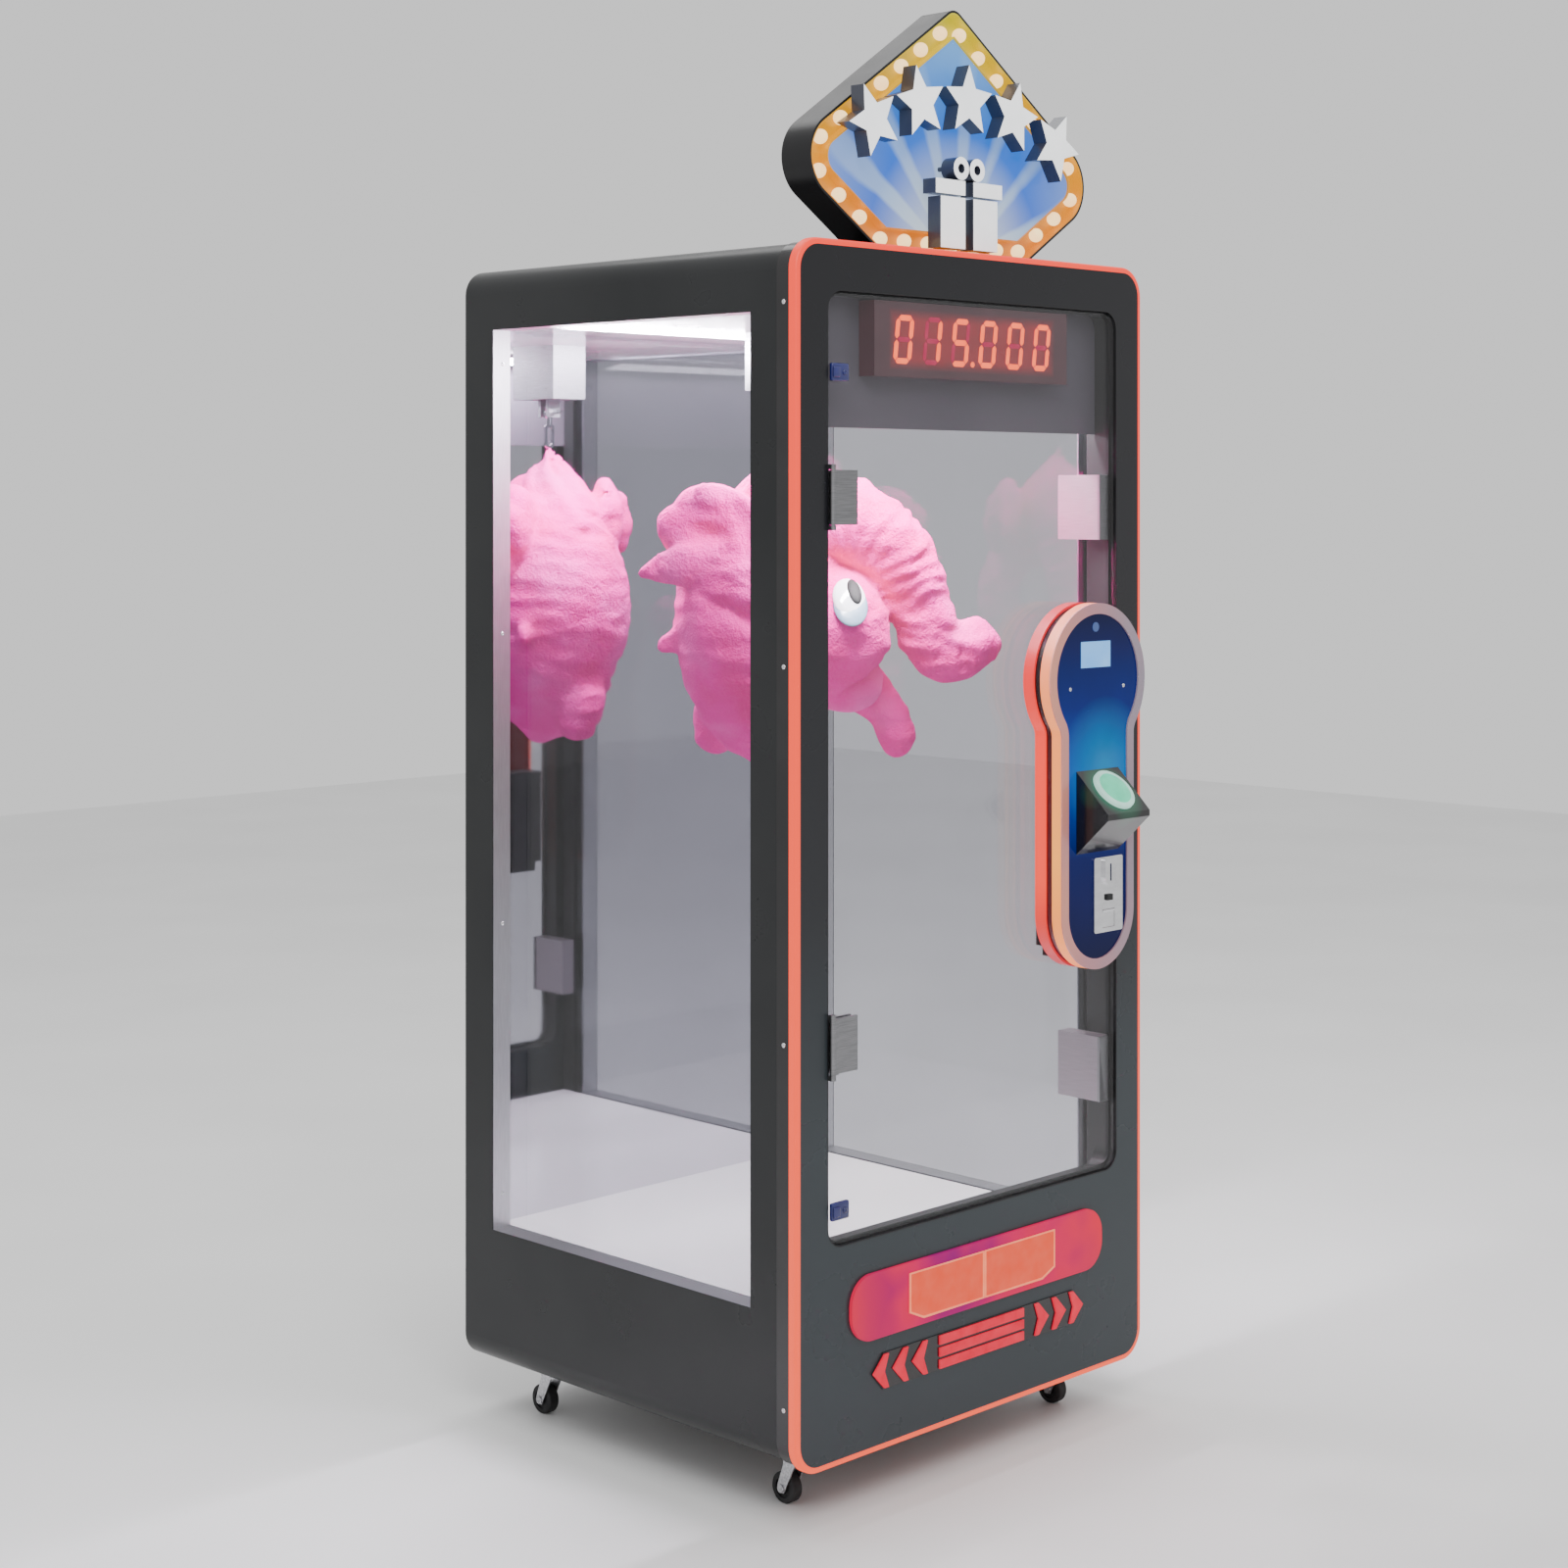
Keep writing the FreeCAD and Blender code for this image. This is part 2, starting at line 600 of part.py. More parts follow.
# ---- display ------------------------------------------------------------------------------------
def digit_bars(number):
    """Lit bars of one seven-bar digit, as corner lists around the digit's middle."""
    half_w = (DIGIT_W - DIGIT_BAR) / 2
    half_h = (DIGIT_H - DIGIT_BAR) / 2
    reach = DIGIT_BAR / 2
    lying = {"top": half_h, "middle": 0, "bottom": -half_h}
    standing = {"upper_left": (-half_w, half_h), "upper_right": (half_w, half_h),
                "lower_left": (-half_w, -half_h), "lower_right": (half_w, -half_h)}
    lit = {0: ("top", "bottom", "upper_left", "upper_right", "lower_left", "lower_right"),
           1: ("upper_right", "lower_right"),
           5: ("top", "middle", "bottom", "upper_left", "lower_right")}[number]
    bars = []
    for name in lit:
        if name in lying:
            z = lying[name]
            ends = (-half_w + DIGIT_GAP, half_w - DIGIT_GAP)
            bars.append([(ends[0], z), (ends[0] + reach, z - reach), (ends[1] - reach, z - reach),
                         (ends[1], z), (ends[1] - reach, z + reach), (ends[0] + reach, z + reach)])
        else:
            x, end = standing[name]
            low = min(0, end) + DIGIT_GAP
            high = max(0, end) - DIGIT_GAP
            bars.append([(x, low), (x + reach, low + reach), (x + reach, high - reach), (x, high),
                         (x - reach, high - reach), (x - reach, low + reach)])
    return bars


def display():
    face = DISPLAY_SETBACK
    top = OPEN_Z1 - DISPLAY_TOP_GAP
    housing = block((-DISPLAY_W / 2, DISPLAY_W / 2), (face, LINER_DEPTH), (top - DISPLAY_H, top))
    middle_z = top - DISPLAY_H / 2
    solids = []
    for place, number in enumerate(SHOWN_DIGITS):
        middle_x = (place - (DIGIT_COUNT - 1) / 2) * DIGIT_PITCH
        for bar in digit_bars(number):
            corners = [(middle_x + x + z * DIGIT_SLANT, middle_z + z, 0) for x, z in bar]
            solids.append(plate(corners, face - DIGIT_T, face))
    point_x = (POINT_AFTER - DIGIT_COUNT / 2 + 1) * DIGIT_PITCH - DIGIT_H * DIGIT_SLANT / 2
    point_z = middle_z - DIGIT_H / 2 + POINT_R
    solids.append(rod((point_x, face, point_z), (point_x, face - DIGIT_T, point_z), POINT_R))
    return housing, group(solids)


# ---- lamps on the lower panel -------------------------------------------------------------------
def lower_lamps():
    lens = plate(rounded(LAMP_W / 2, LAMP_Z0, LAMP_Z0 + LAMP_H, LAMP_R), -LAMP_T, 0)
    inner = INNER_LAMP_SPLIT / 2
    outer = inner + INNER_LAMP_W
    low = INNER_LAMP_Z0
    high = INNER_LAMP_Z0 + INNER_LAMP_H
    right = plate([(inner, low, 4), (outer - INNER_LAMP_CUT, low, 8),
                   (outer, low + INNER_LAMP_CUT_H, 8), (outer, high, 6), (inner, high, 4)],
                  -LAMP_T - INNER_LAMP_T, -LAMP_T)
    return lens, group([right, mirrored(right)])


def arrow_lamps():
    middle = ARROW_Z0 + ARROW_H / 2
    slope = CHEVRON_REACH - CHEVRON_END
    ends = (ARROW_W / 2 - slope, ARROW_W / 2)
    backing = plate([(-ends[0], ARROW_Z0, 0), (ends[0], ARROW_Z0, 0), (ends[1], middle, 0),
                     (ends[0], ARROW_Z0 + ARROW_H, 0), (-ends[0], ARROW_Z0 + ARROW_H, 0),
                     (-ends[1], middle, 0)], -ARROW_PLATE_T, 0)
    depth = (-ARROW_PLATE_T - ARROW_LENS_T, -ARROW_PLATE_T)
    low = middle - ARROW_LENS_H / 2
    high = middle + ARROW_LENS_H / 2
    bar_h = (ARROW_LENS_H - (ARROW_BARS - 1) * ARROW_BAR_GAP) / ARROW_BARS
    lenses = []
    for index in range(ARROW_BARS):
        z = low + index * (bar_h + ARROW_BAR_GAP)
        lenses.append(block((-ARROW_BARS_W / 2, ARROW_BARS_W / 2), depth, (z, z + bar_h)))
    for index in range(CHEVRONS):
        x = ARROW_BARS_W / 2 + CHEVRON_START + index * CHEVRON_PITCH
        chevron = plate([(x, low, 0), (x + CHEVRON_END, low, 0), (x + CHEVRON_REACH, middle, 0),
                         (x + CHEVRON_END, high, 0), (x, high, 0),
                         (x + CHEVRON_REACH - CHEVRON_MIDDLE, middle, 0)], *depth)
        lenses += [chevron, mirrored(chevron)]
    return backing, group(lenses)


# ---- sign ---------------------------------------------------------------------------------------
def sign_face(by):
    """Flat outline of the sign at its front, moved inwards by the distance given."""
    base = SHELL_Z1
    corners = [(-SIGN_FOOT_HALF, base, 0), (SIGN_FOOT_HALF, base, 0),
               (SIGN_HALF_W, base + SIGN_SHOULDER, SIGN_SIDE_R), (0, base + SIGN_APEX, SIGN_APEX_R),
               (-SIGN_HALF_W, base + SIGN_SHOULDER, SIGN_SIDE_R)]
    face = Part.Face(outline(corners, SIGN_FRONT))
    return face.makeOffset2D(-by) if by else face


def sign_layer(by, y0, y1):
    layer = sign_face(by).extrude(Vector(0, y1 - y0, 0))
    return moved(layer, 0, y0 - SIGN_FRONT, 0)


def sign():
    rear = SIGN_FRONT + SIGN_DEPTH
    casing = sign_layer(0, SIGN_FRONT, rear).cut(sign_layer(SIGN_WALL, SIGN_FRONT, rear - SIGN_BACK))
    floor_y = SIGN_FRONT + BORDER_DEPTH
    inner = SIGN_WALL + BORDER_W
    border = sign_layer(SIGN_WALL, SIGN_FRONT, floor_y).cut(
        sign_layer(inner, SIGN_FRONT, floor_y)).cut(
        sign_layer(SIGN_WALL + BORDER_SHEET, SIGN_FRONT, floor_y - BORDER_SHEET).cut(
            sign_layer(inner - BORDER_SHEET, SIGN_FRONT, floor_y - BORDER_SHEET)))
    field_y = SIGN_FRONT + FIELD_SETBACK
    field = sign_layer(inner, field_y, field_y + FIELD_T)
    return casing, border, field


def sign_bulbs():
    """Bulbs in the border channel, evenly spaced along its middle, clear of the sign's foot."""
    path = sign_face(SIGN_WALL + BORDER_W / 2).OuterWire
    count = round(path.Length / BULB_PITCH)
    y = SIGN_FRONT + BORDER_DEPTH - BORDER_SHEET + BULB_SINK - BULB_R
    floor_y = SIGN_FRONT + BORDER_DEPTH - BORDER_SHEET
    bulbs = []
    for point in path.discretize(Number=count + 1)[:-1]:
        ball = Part.makeSphere(BULB_R, Vector(point.x, y, point.z))
        keep = block((point.x - BULB_R, point.x + BULB_R), (y - BULB_R, floor_y),
                     (point.z - BULB_R, point.z + BULB_R))
        bulbs.append(ball.common(keep))
    return group(bulbs)


def star(x, z, tilt, y0, y1):
    corners = []
    for index in range(10):
        radius = STAR_R if index % 2 == 0 else STAR_R * STAR_WAIST
        angle = math.pi / 2 + tilt + index * math.pi / 5
        corners.append((x + radius * math.cos(angle), z + radius * math.sin(angle), 0))
    return plate(corners, y0, y1)


def sign_emblem():
    """Plain stars in an arc above a gift box, standing off the field on round bosses."""
    y1 = SIGN_FRONT - EMBLEM_GAP
    y0 = y1 - EMBLEM_T
    field_y = SIGN_FRONT + FIELD_SETBACK
    pieces = []
    for index in range(STAR_COUNT):
        tilt = (index - (STAR_COUNT - 1) / 2) * STAR_STEP
        x = STAR_ARC_R * math.sin(tilt)
        z = SHELL_Z1 + STAR_ARC_TOP - STAR_ARC_R * (1 - math.cos(tilt))
        boss = rod((x, y1, z), (x, field_y, z), BOSS_R)
        pieces.append(united([star(x, z, -tilt, y0, y1), boss]))
    low = SHELL_Z1 + GIFT_Z0
    lid = low + GIFT_H + GIFT_GAP
    bow_z = lid + GIFT_LID_H + GIFT_BOW_R + 1
    ribbon = GIFT_RIBBON / 2
    for side in (-1, 1):
        box_x = sorted((side * ribbon, side * GIFT_W / 2))
        lid_x = sorted((side * ribbon, side * GIFT_LID_W / 2))
        bow_x = side * (GIFT_BOW_R + 1)
        bow = rod((bow_x, y0, bow_z), (bow_x, y1, bow_z), GIFT_BOW_R).cut(
            rod((bow_x, y0, bow_z), (bow_x, y1, bow_z), GIFT_BOW_HOLE))
        bow_boss_x = bow_x + side * (GIFT_BOW_R + GIFT_BOW_HOLE) / 2
        for shape, x, z, radius in (
                (block(box_x, (y0, y1), (low, low + GIFT_H)), sum(box_x) / 2, low + GIFT_BOSS_Z, BOSS_R),
                (block(lid_x, (y0, y1), (lid, lid + GIFT_LID_H)), sum(lid_x) / 2,
                 lid + GIFT_LID_H / 2, BOSS_R),
                (bow, bow_boss_x, bow_z, BOW_BOSS_R)):
            pieces.append(united([shape, rod((x, y1, z), (x, field_y, z), radius)]))
    return group(pieces)


# ---- door ---------------------------------------------------------------------------------------
def door_glass():
    pane = plate(rounded(GLASS_HALF, OPEN_Z0 + GLASS_GAP, OPEN_Z1 - GLASS_GAP, OPEN_R - GLASS_GAP),
                 GLASS_SETBACK, GLASS_BACK)
    return pane.cut(throat(THROAT_GAP, GLASS_SETBACK, GLASS_BACK))


def throat(gap, y0, y1):
    """Coin throat through the glass, with the gap given on every side."""
    z = COIN_PLATE_Z0 + COIN_PLATE_H / 2
    return block((COIN_PLATE_X - THROAT_W / 2 - gap, COIN_PLATE_X + THROAT_W / 2 + gap), (y0, y1),
                 (z - THROAT_H / 2 - gap, z + THROAT_H / 2 + gap))


def hinge_clamp(z):
    """Clamp plates on both faces of the glass, with the knuckle that turns on the pin."""
    low = z - HINGE_PLATE_H / 2
    high = z + HINGE_PLATE_H / 2
    x = (HINGE_X + HINGE_AXIS_INSET, HINGE_X + HINGE_AXIS_INSET + HINGE_PLATE_W)
    front = block(x, (GLASS_SETBACK - HINGE_PLATE_T, GLASS_SETBACK), (low, high))
    web = block((HINGE_X - 1, x[0] + 7), (HINGE_Y - 2, GLASS_SETBACK - HINGE_PLATE_T + 1), (low, high))
    barrel = rod((HINGE_X, HINGE_Y, low), (HINGE_X, HINGE_Y, high), HINGE_BARREL_R)
    bore = rod((HINGE_X, HINGE_Y, low), (HINGE_X, HINGE_Y, high), HINGE_PIN_R + PIN_CLEARANCE)
    rear = block(x, (GLASS_BACK, GLASS_BACK + HINGE_BACK_T), (low, high))
    return [united([front, web, barrel]).cut(bore), rear]


def wall_leaf(z):
    """Leaf on the liner, in the gap beside the glass, with two lugs and the pin between them."""
    low = z - HINGE_PLATE_H / 2 - HINGE_GAP
    high = z + HINGE_PLATE_H / 2 + HINGE_GAP
    leaf_x = (-OPEN_HALF, -OPEN_HALF + HINGE_LEAF_T)
    pieces = [block(leaf_x, (0, GLASS_BACK), (low - HINGE_LUG, high + HINGE_LUG))]
    for z0 in (low - HINGE_LUG, high):
        pieces.append(rod((HINGE_X, HINGE_Y, z0), (HINGE_X, HINGE_Y, z0 + HINGE_LUG), HINGE_BARREL_R))
        pieces.append(block((leaf_x[0], HINGE_X), (HINGE_Y, 0), (z0, z0 + HINGE_LUG)))
    pieces.append(rod((HINGE_X, HINGE_Y, low - 1), (HINGE_X, HINGE_Y, high + 1), HINGE_PIN_R))
    return united(pieces)


def magnet_locks():
    """Electromagnet boxes on the liner and the steel strikes they hold, behind the glass."""
    boxes = []
    strikes = []
    stop_edge = OPEN_HALF - STOP_WIDTH - 1
    strike_back = GLASS_BACK + STRIKE_T
    for z in (LOWER_LOCK_Z, UPPER_LOCK_Z):
        height = (z - LOCK_H / 2, z + LOCK_H / 2)
        boxes.append(block((OPEN_HALF - LOCK_W, OPEN_HALF),
                           (strike_back + LOCK_GAP, strike_back + LOCK_GAP + LOCK_DEPTH), height))
        strikes.append(block((stop_edge - STRIKE_W, stop_edge), (GLASS_BACK, strike_back), height))
    return group(boxes), strikes


# ---- console ------------------------------------------------------------------------------------
def keyhole(by, y0, y1):
    """Keyhole-shaped layer: a round head on a narrower straight neck with a round foot."""
    ring = CONSOLE_RING_R - by
    neck = CONSOLE_NECK - by
    blend = CONSOLE_FILLET + by
    blend_z = CONSOLE_RING_Z - math.sqrt((ring + blend) ** 2 - (neck + blend) ** 2)
    angle = math.atan2(blend_z - CONSOLE_RING_Z, neck + blend)

    def at(x, z):
        return Vector(CONSOLE_X + x, y0, z)

    touch_x = ring * math.cos(angle)
    touch_z = CONSOLE_RING_Z + ring * math.sin(angle)
    turn = (math.pi + math.pi + angle) / 2
    soft_x = neck + blend + blend * math.cos(turn)
    soft_z = blend_z + blend * math.sin(turn)
    edges = [Part.LineSegment(at(neck, CONSOLE_FOOT_Z), at(neck, blend_z)),
             Part.Arc(at(neck, blend_z), at(soft_x, soft_z), at(touch_x, touch_z)),
             Part.Arc(at(touch_x, touch_z), at(0, CONSOLE_RING_Z + ring), at(-touch_x, touch_z)),
             Part.Arc(at(-touch_x, touch_z), at(-soft_x, soft_z), at(-neck, blend_z)),
             Part.LineSegment(at(-neck, blend_z), at(-neck, CONSOLE_FOOT_Z)),
             Part.Arc(at(-neck, CONSOLE_FOOT_Z), at(0, CONSOLE_FOOT_Z - neck),
                      at(neck, CONSOLE_FOOT_Z))]
    face = Part.Face(Part.Wire([edge.toShape() for edge in edges]))
    return face.extrude(Vector(0, y1 - y0, 0))


def keyhole_ring(outer, inner, y0, y1):
    return keyhole(outer, y0, y1).cut(keyhole(inner, y0, y1))


def console():
    floor_y = CONSOLE_BACK - CONSOLE_WALL
    pedestal = keyhole(PEDESTAL_INSET, CONSOLE_BACK, GLASS_SETBACK)
    back = keyhole(STRIP_THICK, floor_y, CONSOLE_BACK)
    rim = keyhole_ring(STRIP_THICK, STRIP_THICK + CONSOLE_WALL, BEZEL_Y1, floor_y)
    shell = united([pedestal, back, rim]).cut(throat(THROAT_GAP, floor_y, GLASS_SETBACK))
    strips = group([keyhole_ring(0, STRIP_THICK, REAR_STRIP_Y, CONSOLE_BACK),
                    keyhole_ring(0, STRIP_THICK, BEZEL_Y1, FRONT_STRIP_Y1)])
    bezel = keyhole_ring(0, BEZEL_W, BEZEL_Y0, BEZEL_Y1)
    face = keyhole(STRIP_THICK + CONSOLE_WALL, FACE_Y, FACE_Y + FACE_T)
    for window in (flap_window(FACE_Y, FACE_Y + FACE_T), slot_window(FACE_Y, FACE_Y + FACE_T),
                   reject_window(FACE_Y, FACE_Y + FACE_T), housing_bore()):
        face = face.cut(window)
    screen = block((SCREEN_X - SCREEN_W / 2, SCREEN_X + SCREEN_W / 2), (FACE_Y - SCREEN_T, FACE_Y),
                   (SCREEN_Z - SCREEN_H / 2, SCREEN_Z + SCREEN_H / 2))
    sensor = rod((SCREEN_X, FACE_Y, SENSOR_Z + 8), (SCREEN_X, FACE_Y - SCREEN_T, SENSOR_Z + 8), SENSOR_R)
    return shell, strips, bezel, face, group([screen, sensor])


def slope_point(down, out):
    """Point (y, z) on the housing's sloped face: down the slope, then out of the face."""
    rise = HOUSING_NOSE + FACE_Y
    middle_y = FACE_Y - rise / 2
    middle_z = HOUSING_TOP_Z - rise / 2
    return (middle_y - (down + out) / math.sqrt(2), middle_z - (down - out) / math.sqrt(2))


def along_button(start, end, radius):
    """Round bar along the button's axis, from one distance out of the slope to another."""
    y0, z0 = slope_point(0, start)
    y1, z1 = slope_point(0, end)
    return rod((HOUSING_X, y0, z0), (HOUSING_X, y1, z1), radius)


def housing_solid(wall):
    """Wedge with a sloped top; the wall leaves that much off every side but the rear."""
    rise = HOUSING_NOSE + FACE_Y
    slant = wall * (math.sqrt(2) - 1)
    nose_y = -HOUSING_NOSE + wall
    nose_z = HOUSING_TOP_Z - rise
    corners = [(FACE_Y, HOUSING_TOP_Z - wall * math.sqrt(2)), (nose_y, nose_z - slant),
               (nose_y, nose_z - HOUSING_NOSE_H + wall / 2), (FACE_Y, HOUSING_FOOT_Z + wall * 1.3)]
    half = HOUSING_W / 2 - wall
    points = [Vector(HOUSING_X - half, y, z) for y, z in corners]
    face = Part.Face(Part.makePolygon(points + points[:1]))
    return face.extrude(Vector(2 * half, 0, 0))


def housing_bore():
    """Room behind the face for the button's sleeve."""
    depth = BUTTON_STEM + BUTTON_TRAVEL + RING_SLEEVE
    return along_button(0, -depth, BUTTON_R + BUTTON_GAP + RING_SLEEVE_T + 1)


def start_button():
    housing = housing_solid(0).cut(housing_solid(HOUSING_WALL))
    bore = BUTTON_R + BUTTON_GAP
    sleeve_r = bore + RING_SLEEVE_T
    housing = housing.cut(along_button(HOUSING_WALL, -3 * HOUSING_WALL, sleeve_r))
    ring = united([along_button(0, RING_RISE, RING_R), along_button(-RING_SLEEVE, 0, sleeve_r)])
    ring = ring.makeFillet(2.5, [edge for edge in ring.Edges if on_ring_lip(edge)])
    ring = ring.cut(along_button(-RING_SLEEVE, RING_RISE, bore))
    cap = along_button(-BUTTON_STEM, BUTTON_RISE, BUTTON_R)
    crown_r = (BUTTON_R ** 2 + BUTTON_CROWN ** 2) / (2 * BUTTON_CROWN)
    y, z = slope_point(0, BUTTON_RISE + BUTTON_CROWN - crown_r)
    crown = Part.makeSphere(crown_r, Vector(HOUSING_X, y, z)).common(
        along_button(BUTTON_RISE, BUTTON_RISE + 2 * BUTTON_CROWN, BUTTON_R))
    return housing, ring, united([cap, crown])


def on_ring_lip(edge):
    """True for the outer edge at the top of the button's ring."""
    y, z = slope_point(0, RING_RISE)
    centre = Vector(HOUSING_X, y, z)
    return all(abs(vertex.Point.distanceToPoint(centre) - RING_R) < 0.01 for vertex in edge.Vertexes) \
        and abs(edge.CenterOfMass.distanceToPoint(centre)) < 1.0


# ---- coin acceptor ------------------------------------------------------------------------------
def flap_window(y0, y1):
    z = COIN_PLATE_Z0 + FLAP_Z0
    return block((COIN_PLATE_X - FLAP_W / 2 - FLAP_GAP, COIN_PLATE_X + FLAP_W / 2 + FLAP_GAP), (y0, y1),
                 (z - FLAP_GAP, z + FLAP_H + FLAP_GAP))


def slot_window(y0, y1):
    z = COIN_PLATE_Z1 - COIN_GUIDE_H / 2 - 4
    return block((COIN_PLATE_X - COIN_SLOT_W / 2, COIN_PLATE_X + COIN_SLOT_W / 2), (y0, y1),
                 (z - COIN_SLOT_H / 2, z + COIN_SLOT_H / 2))


def reject_window(y0, y1):
    z = COIN_PLATE_Z0 + COIN_PLATE_H / 2 - REJECT_H / 2
    gap = REJECT_GAP
    return block((COIN_PLATE_X - REJECT_W / 2 - gap, COIN_PLATE_X + REJECT_W / 2 + gap), (y0, y1),
                 (z - REJECT_H / 2 - gap, z + REJECT_H / 2 + gap))


def coin_front():
    """Plate with the slot guide, the reject button in it and the return flap on its pin."""
    half = COIN_PLATE_W / 2
    low = COIN_PLATE_Z0
    high = COIN_PLATE_Z1
    corners = [(-half, low, 4), (half, low, 4), (half, high, 4), (-half, high, 4)]
    sheet = moved(plate(corners, COIN_PLATE_Y, FACE_Y), COIN_PLATE_X, 0, 0)
    guide = [(-COIN_GUIDE_W / 2, high - 4 - COIN_GUIDE_H, COIN_GUIDE_W / 2 - 1),
             (COIN_GUIDE_W / 2, high - 4 - COIN_GUIDE_H, COIN_GUIDE_W / 2 - 1),
             (COIN_GUIDE_W / 2, high - 4, 2), (-COIN_GUIDE_W / 2, high - 4, 2)]
    raised = moved(plate(guide, COIN_PLATE_Y - COIN_GUIDE_T, COIN_PLATE_Y), COIN_PLATE_X, 0, 0)
    body = united([sheet, raised])
    front = COIN_PLATE_Y - COIN_GUIDE_T
    for window in (slot_window(front, FACE_Y), reject_window(front, FACE_Y), flap_window(front, FACE_Y)):
        body = body.cut(window)
    reject_z = COIN_PLATE_Z0 + COIN_PLATE_H / 2 - REJECT_H / 2
    button = block((COIN_PLATE_X - REJECT_W / 2, COIN_PLATE_X + REJECT_W / 2),
                   (COIN_PLATE_Y - REJECT_RISE, COIN_PLATE_Y - REJECT_RISE + REJECT_DEPTH),
                   (reject_z - REJECT_H / 2, reject_z + REJECT_H / 2))
    x = (COIN_PLATE_X - FLAP_W / 2, COIN_PLATE_X + FLAP_W / 2)
    flap_z = COIN_PLATE_Z0 + FLAP_Z0
    leaf = block(x, (COIN_FLAP_Y - FLAP_T / 2, COIN_FLAP_Y + FLAP_T / 2),
                 (flap_z, COIN_FLAP_Z))
    knuckle = rod((x[0], COIN_FLAP_Y, COIN_FLAP_Z), (x[1], COIN_FLAP_Y, COIN_FLAP_Z), FLAP_PIN_R + 1)
    flap = united([leaf, knuckle])
    pin = ((x[0] - FLAP_GAP - 4, COIN_FLAP_Y, COIN_FLAP_Z), (x[1] + FLAP_GAP + 4, COIN_FLAP_Y, COIN_FLAP_Z))
    flap = flap.cut(rod(*pin, FLAP_PIN_R + PIN_CLEARANCE))
    body = united([body, rod(*pin, FLAP_PIN_R)])
    return body, button, flap


def coin_box():
    """Coin mechanism behind the glass with its throat, and the coin tray under it."""
    x = (COIN_PLATE_X - COIN_MECH_W / 2, COIN_PLATE_X + COIN_MECH_W / 2)
    middle = COIN_PLATE_Z0 + COIN_PLATE_H / 2
    y = (GLASS_BACK, GLASS_BACK + COIN_MECH_DEPTH)
    foot = middle - COIN_MECH_H / 2
    mech = united([block(x, y, (foot, foot + COIN_MECH_H)), throat(0, FACE_Y + 2 * FLAP_H, GLASS_BACK)])
    tray_x = (COIN_PLATE_X - COIN_TRAY_W / 2, COIN_PLATE_X + COIN_TRAY_W / 2)
    tray_y = (y[0] + 3, y[1] - 3)
    low = foot - COIN_TRAY_DROP
    tray = block(tray_x, tray_y, (low, foot))
    inner = block((tray_x[0] + COIN_WALL, tray_x[1] - COIN_WALL),
                  (tray_y[0] + COIN_WALL, tray_y[1] - COIN_WALL), (low + COIN_WALL, foot))
    return group([mech, tray.cut(inner)])


# ---- prize and release --------------------------------------------------------------------------
def release():
    """Solenoid housing with two cheeks, and the pin across them that carries the prize."""
    x = (-RELEASE_W / 2, RELEASE_W / 2)
    body = block(x, (PRIZE_Y - RELEASE_L / 2, PRIZE_Y + RELEASE_L / 2), (RELEASE_BODY_Z, CEILING_Z))
    parts = [body]
    for y in (PRIZE_Y - CHEEK_GAP / 2 - CHEEK_T, PRIZE_Y + CHEEK_GAP / 2):
        parts.append(block((-14, 14), (y, y + CHEEK_T), (RELEASE_BODY_Z - CHEEK_DROP, RELEASE_BODY_Z)))
    start = PRIZE_Y - CHEEK_GAP / 2 - CHEEK_T + 2
    pin = rod((0, start, RELEASE_PIN_Z), (0, start + RELEASE_PIN_L, RELEASE_PIN_Z), RELEASE_PIN_R)
    bore = rod((0, start, RELEASE_PIN_Z), (0, start + RELEASE_PIN_L, RELEASE_PIN_Z),
               RELEASE_PIN_R + PIN_CLEARANCE)
    housing = united(parts).cut(bore)
    return housing, pin


def prize_hook():
    """Swivel snap hook: eye on the release pin, swivel barrel and the long snap loop."""
    eye = Part.makeTorus(EYE_R, EYE_WIRE, Vector(0, PRIZE_Y, EYE_Z), Vector(0, 1, 0))
    top = EYE_Z - EYE_R
    low = top - SWIVEL_H
    barrel = rod((0, PRIZE_Y, top), (0, PRIZE_Y, low), SWIVEL_R)
    y = (PRIZE_Y - SNAP_WIRE, PRIZE_Y + SNAP_WIRE)
    loops = []
    for wire in (0, 2 * SNAP_WIRE):
        half = SNAP_W / 2 - wire
        foot = HOOK_FOOT_Z + wire
        loops.append(plate([(-half, foot, half - 1), (half, foot, half - 1),
                            (half, low + 1 - wire, 4), (-half, low + 1 - wire, 4)], *y))
    return united([eye, barrel, loops[0].cut(loops[1])])


def prize_plush():
    """Hanging soft toy as overlapping balls, turned to face the front corner."""
    across = Vector(math.cos(PRIZE_YAW), -math.sin(PRIZE_YAW), 0)
    forward = Vector(-math.sin(PRIZE_YAW), -math.cos(PRIZE_YAW), 0)
    balls = []
    for index, (a, f, drop, radius) in enumerate(PRIZE_BALLS):
        centre = Vector(0, PRIZE_Y, HOOK_FOOT_Z - drop) + across * a + forward * f
        ball = Part.makeSphere(radius, centre)
        ball.rotate(centre, Vector(1, 0.3, 0.2), index * PRIZE_SPIN)
        balls.append(ball)
    return united(balls)


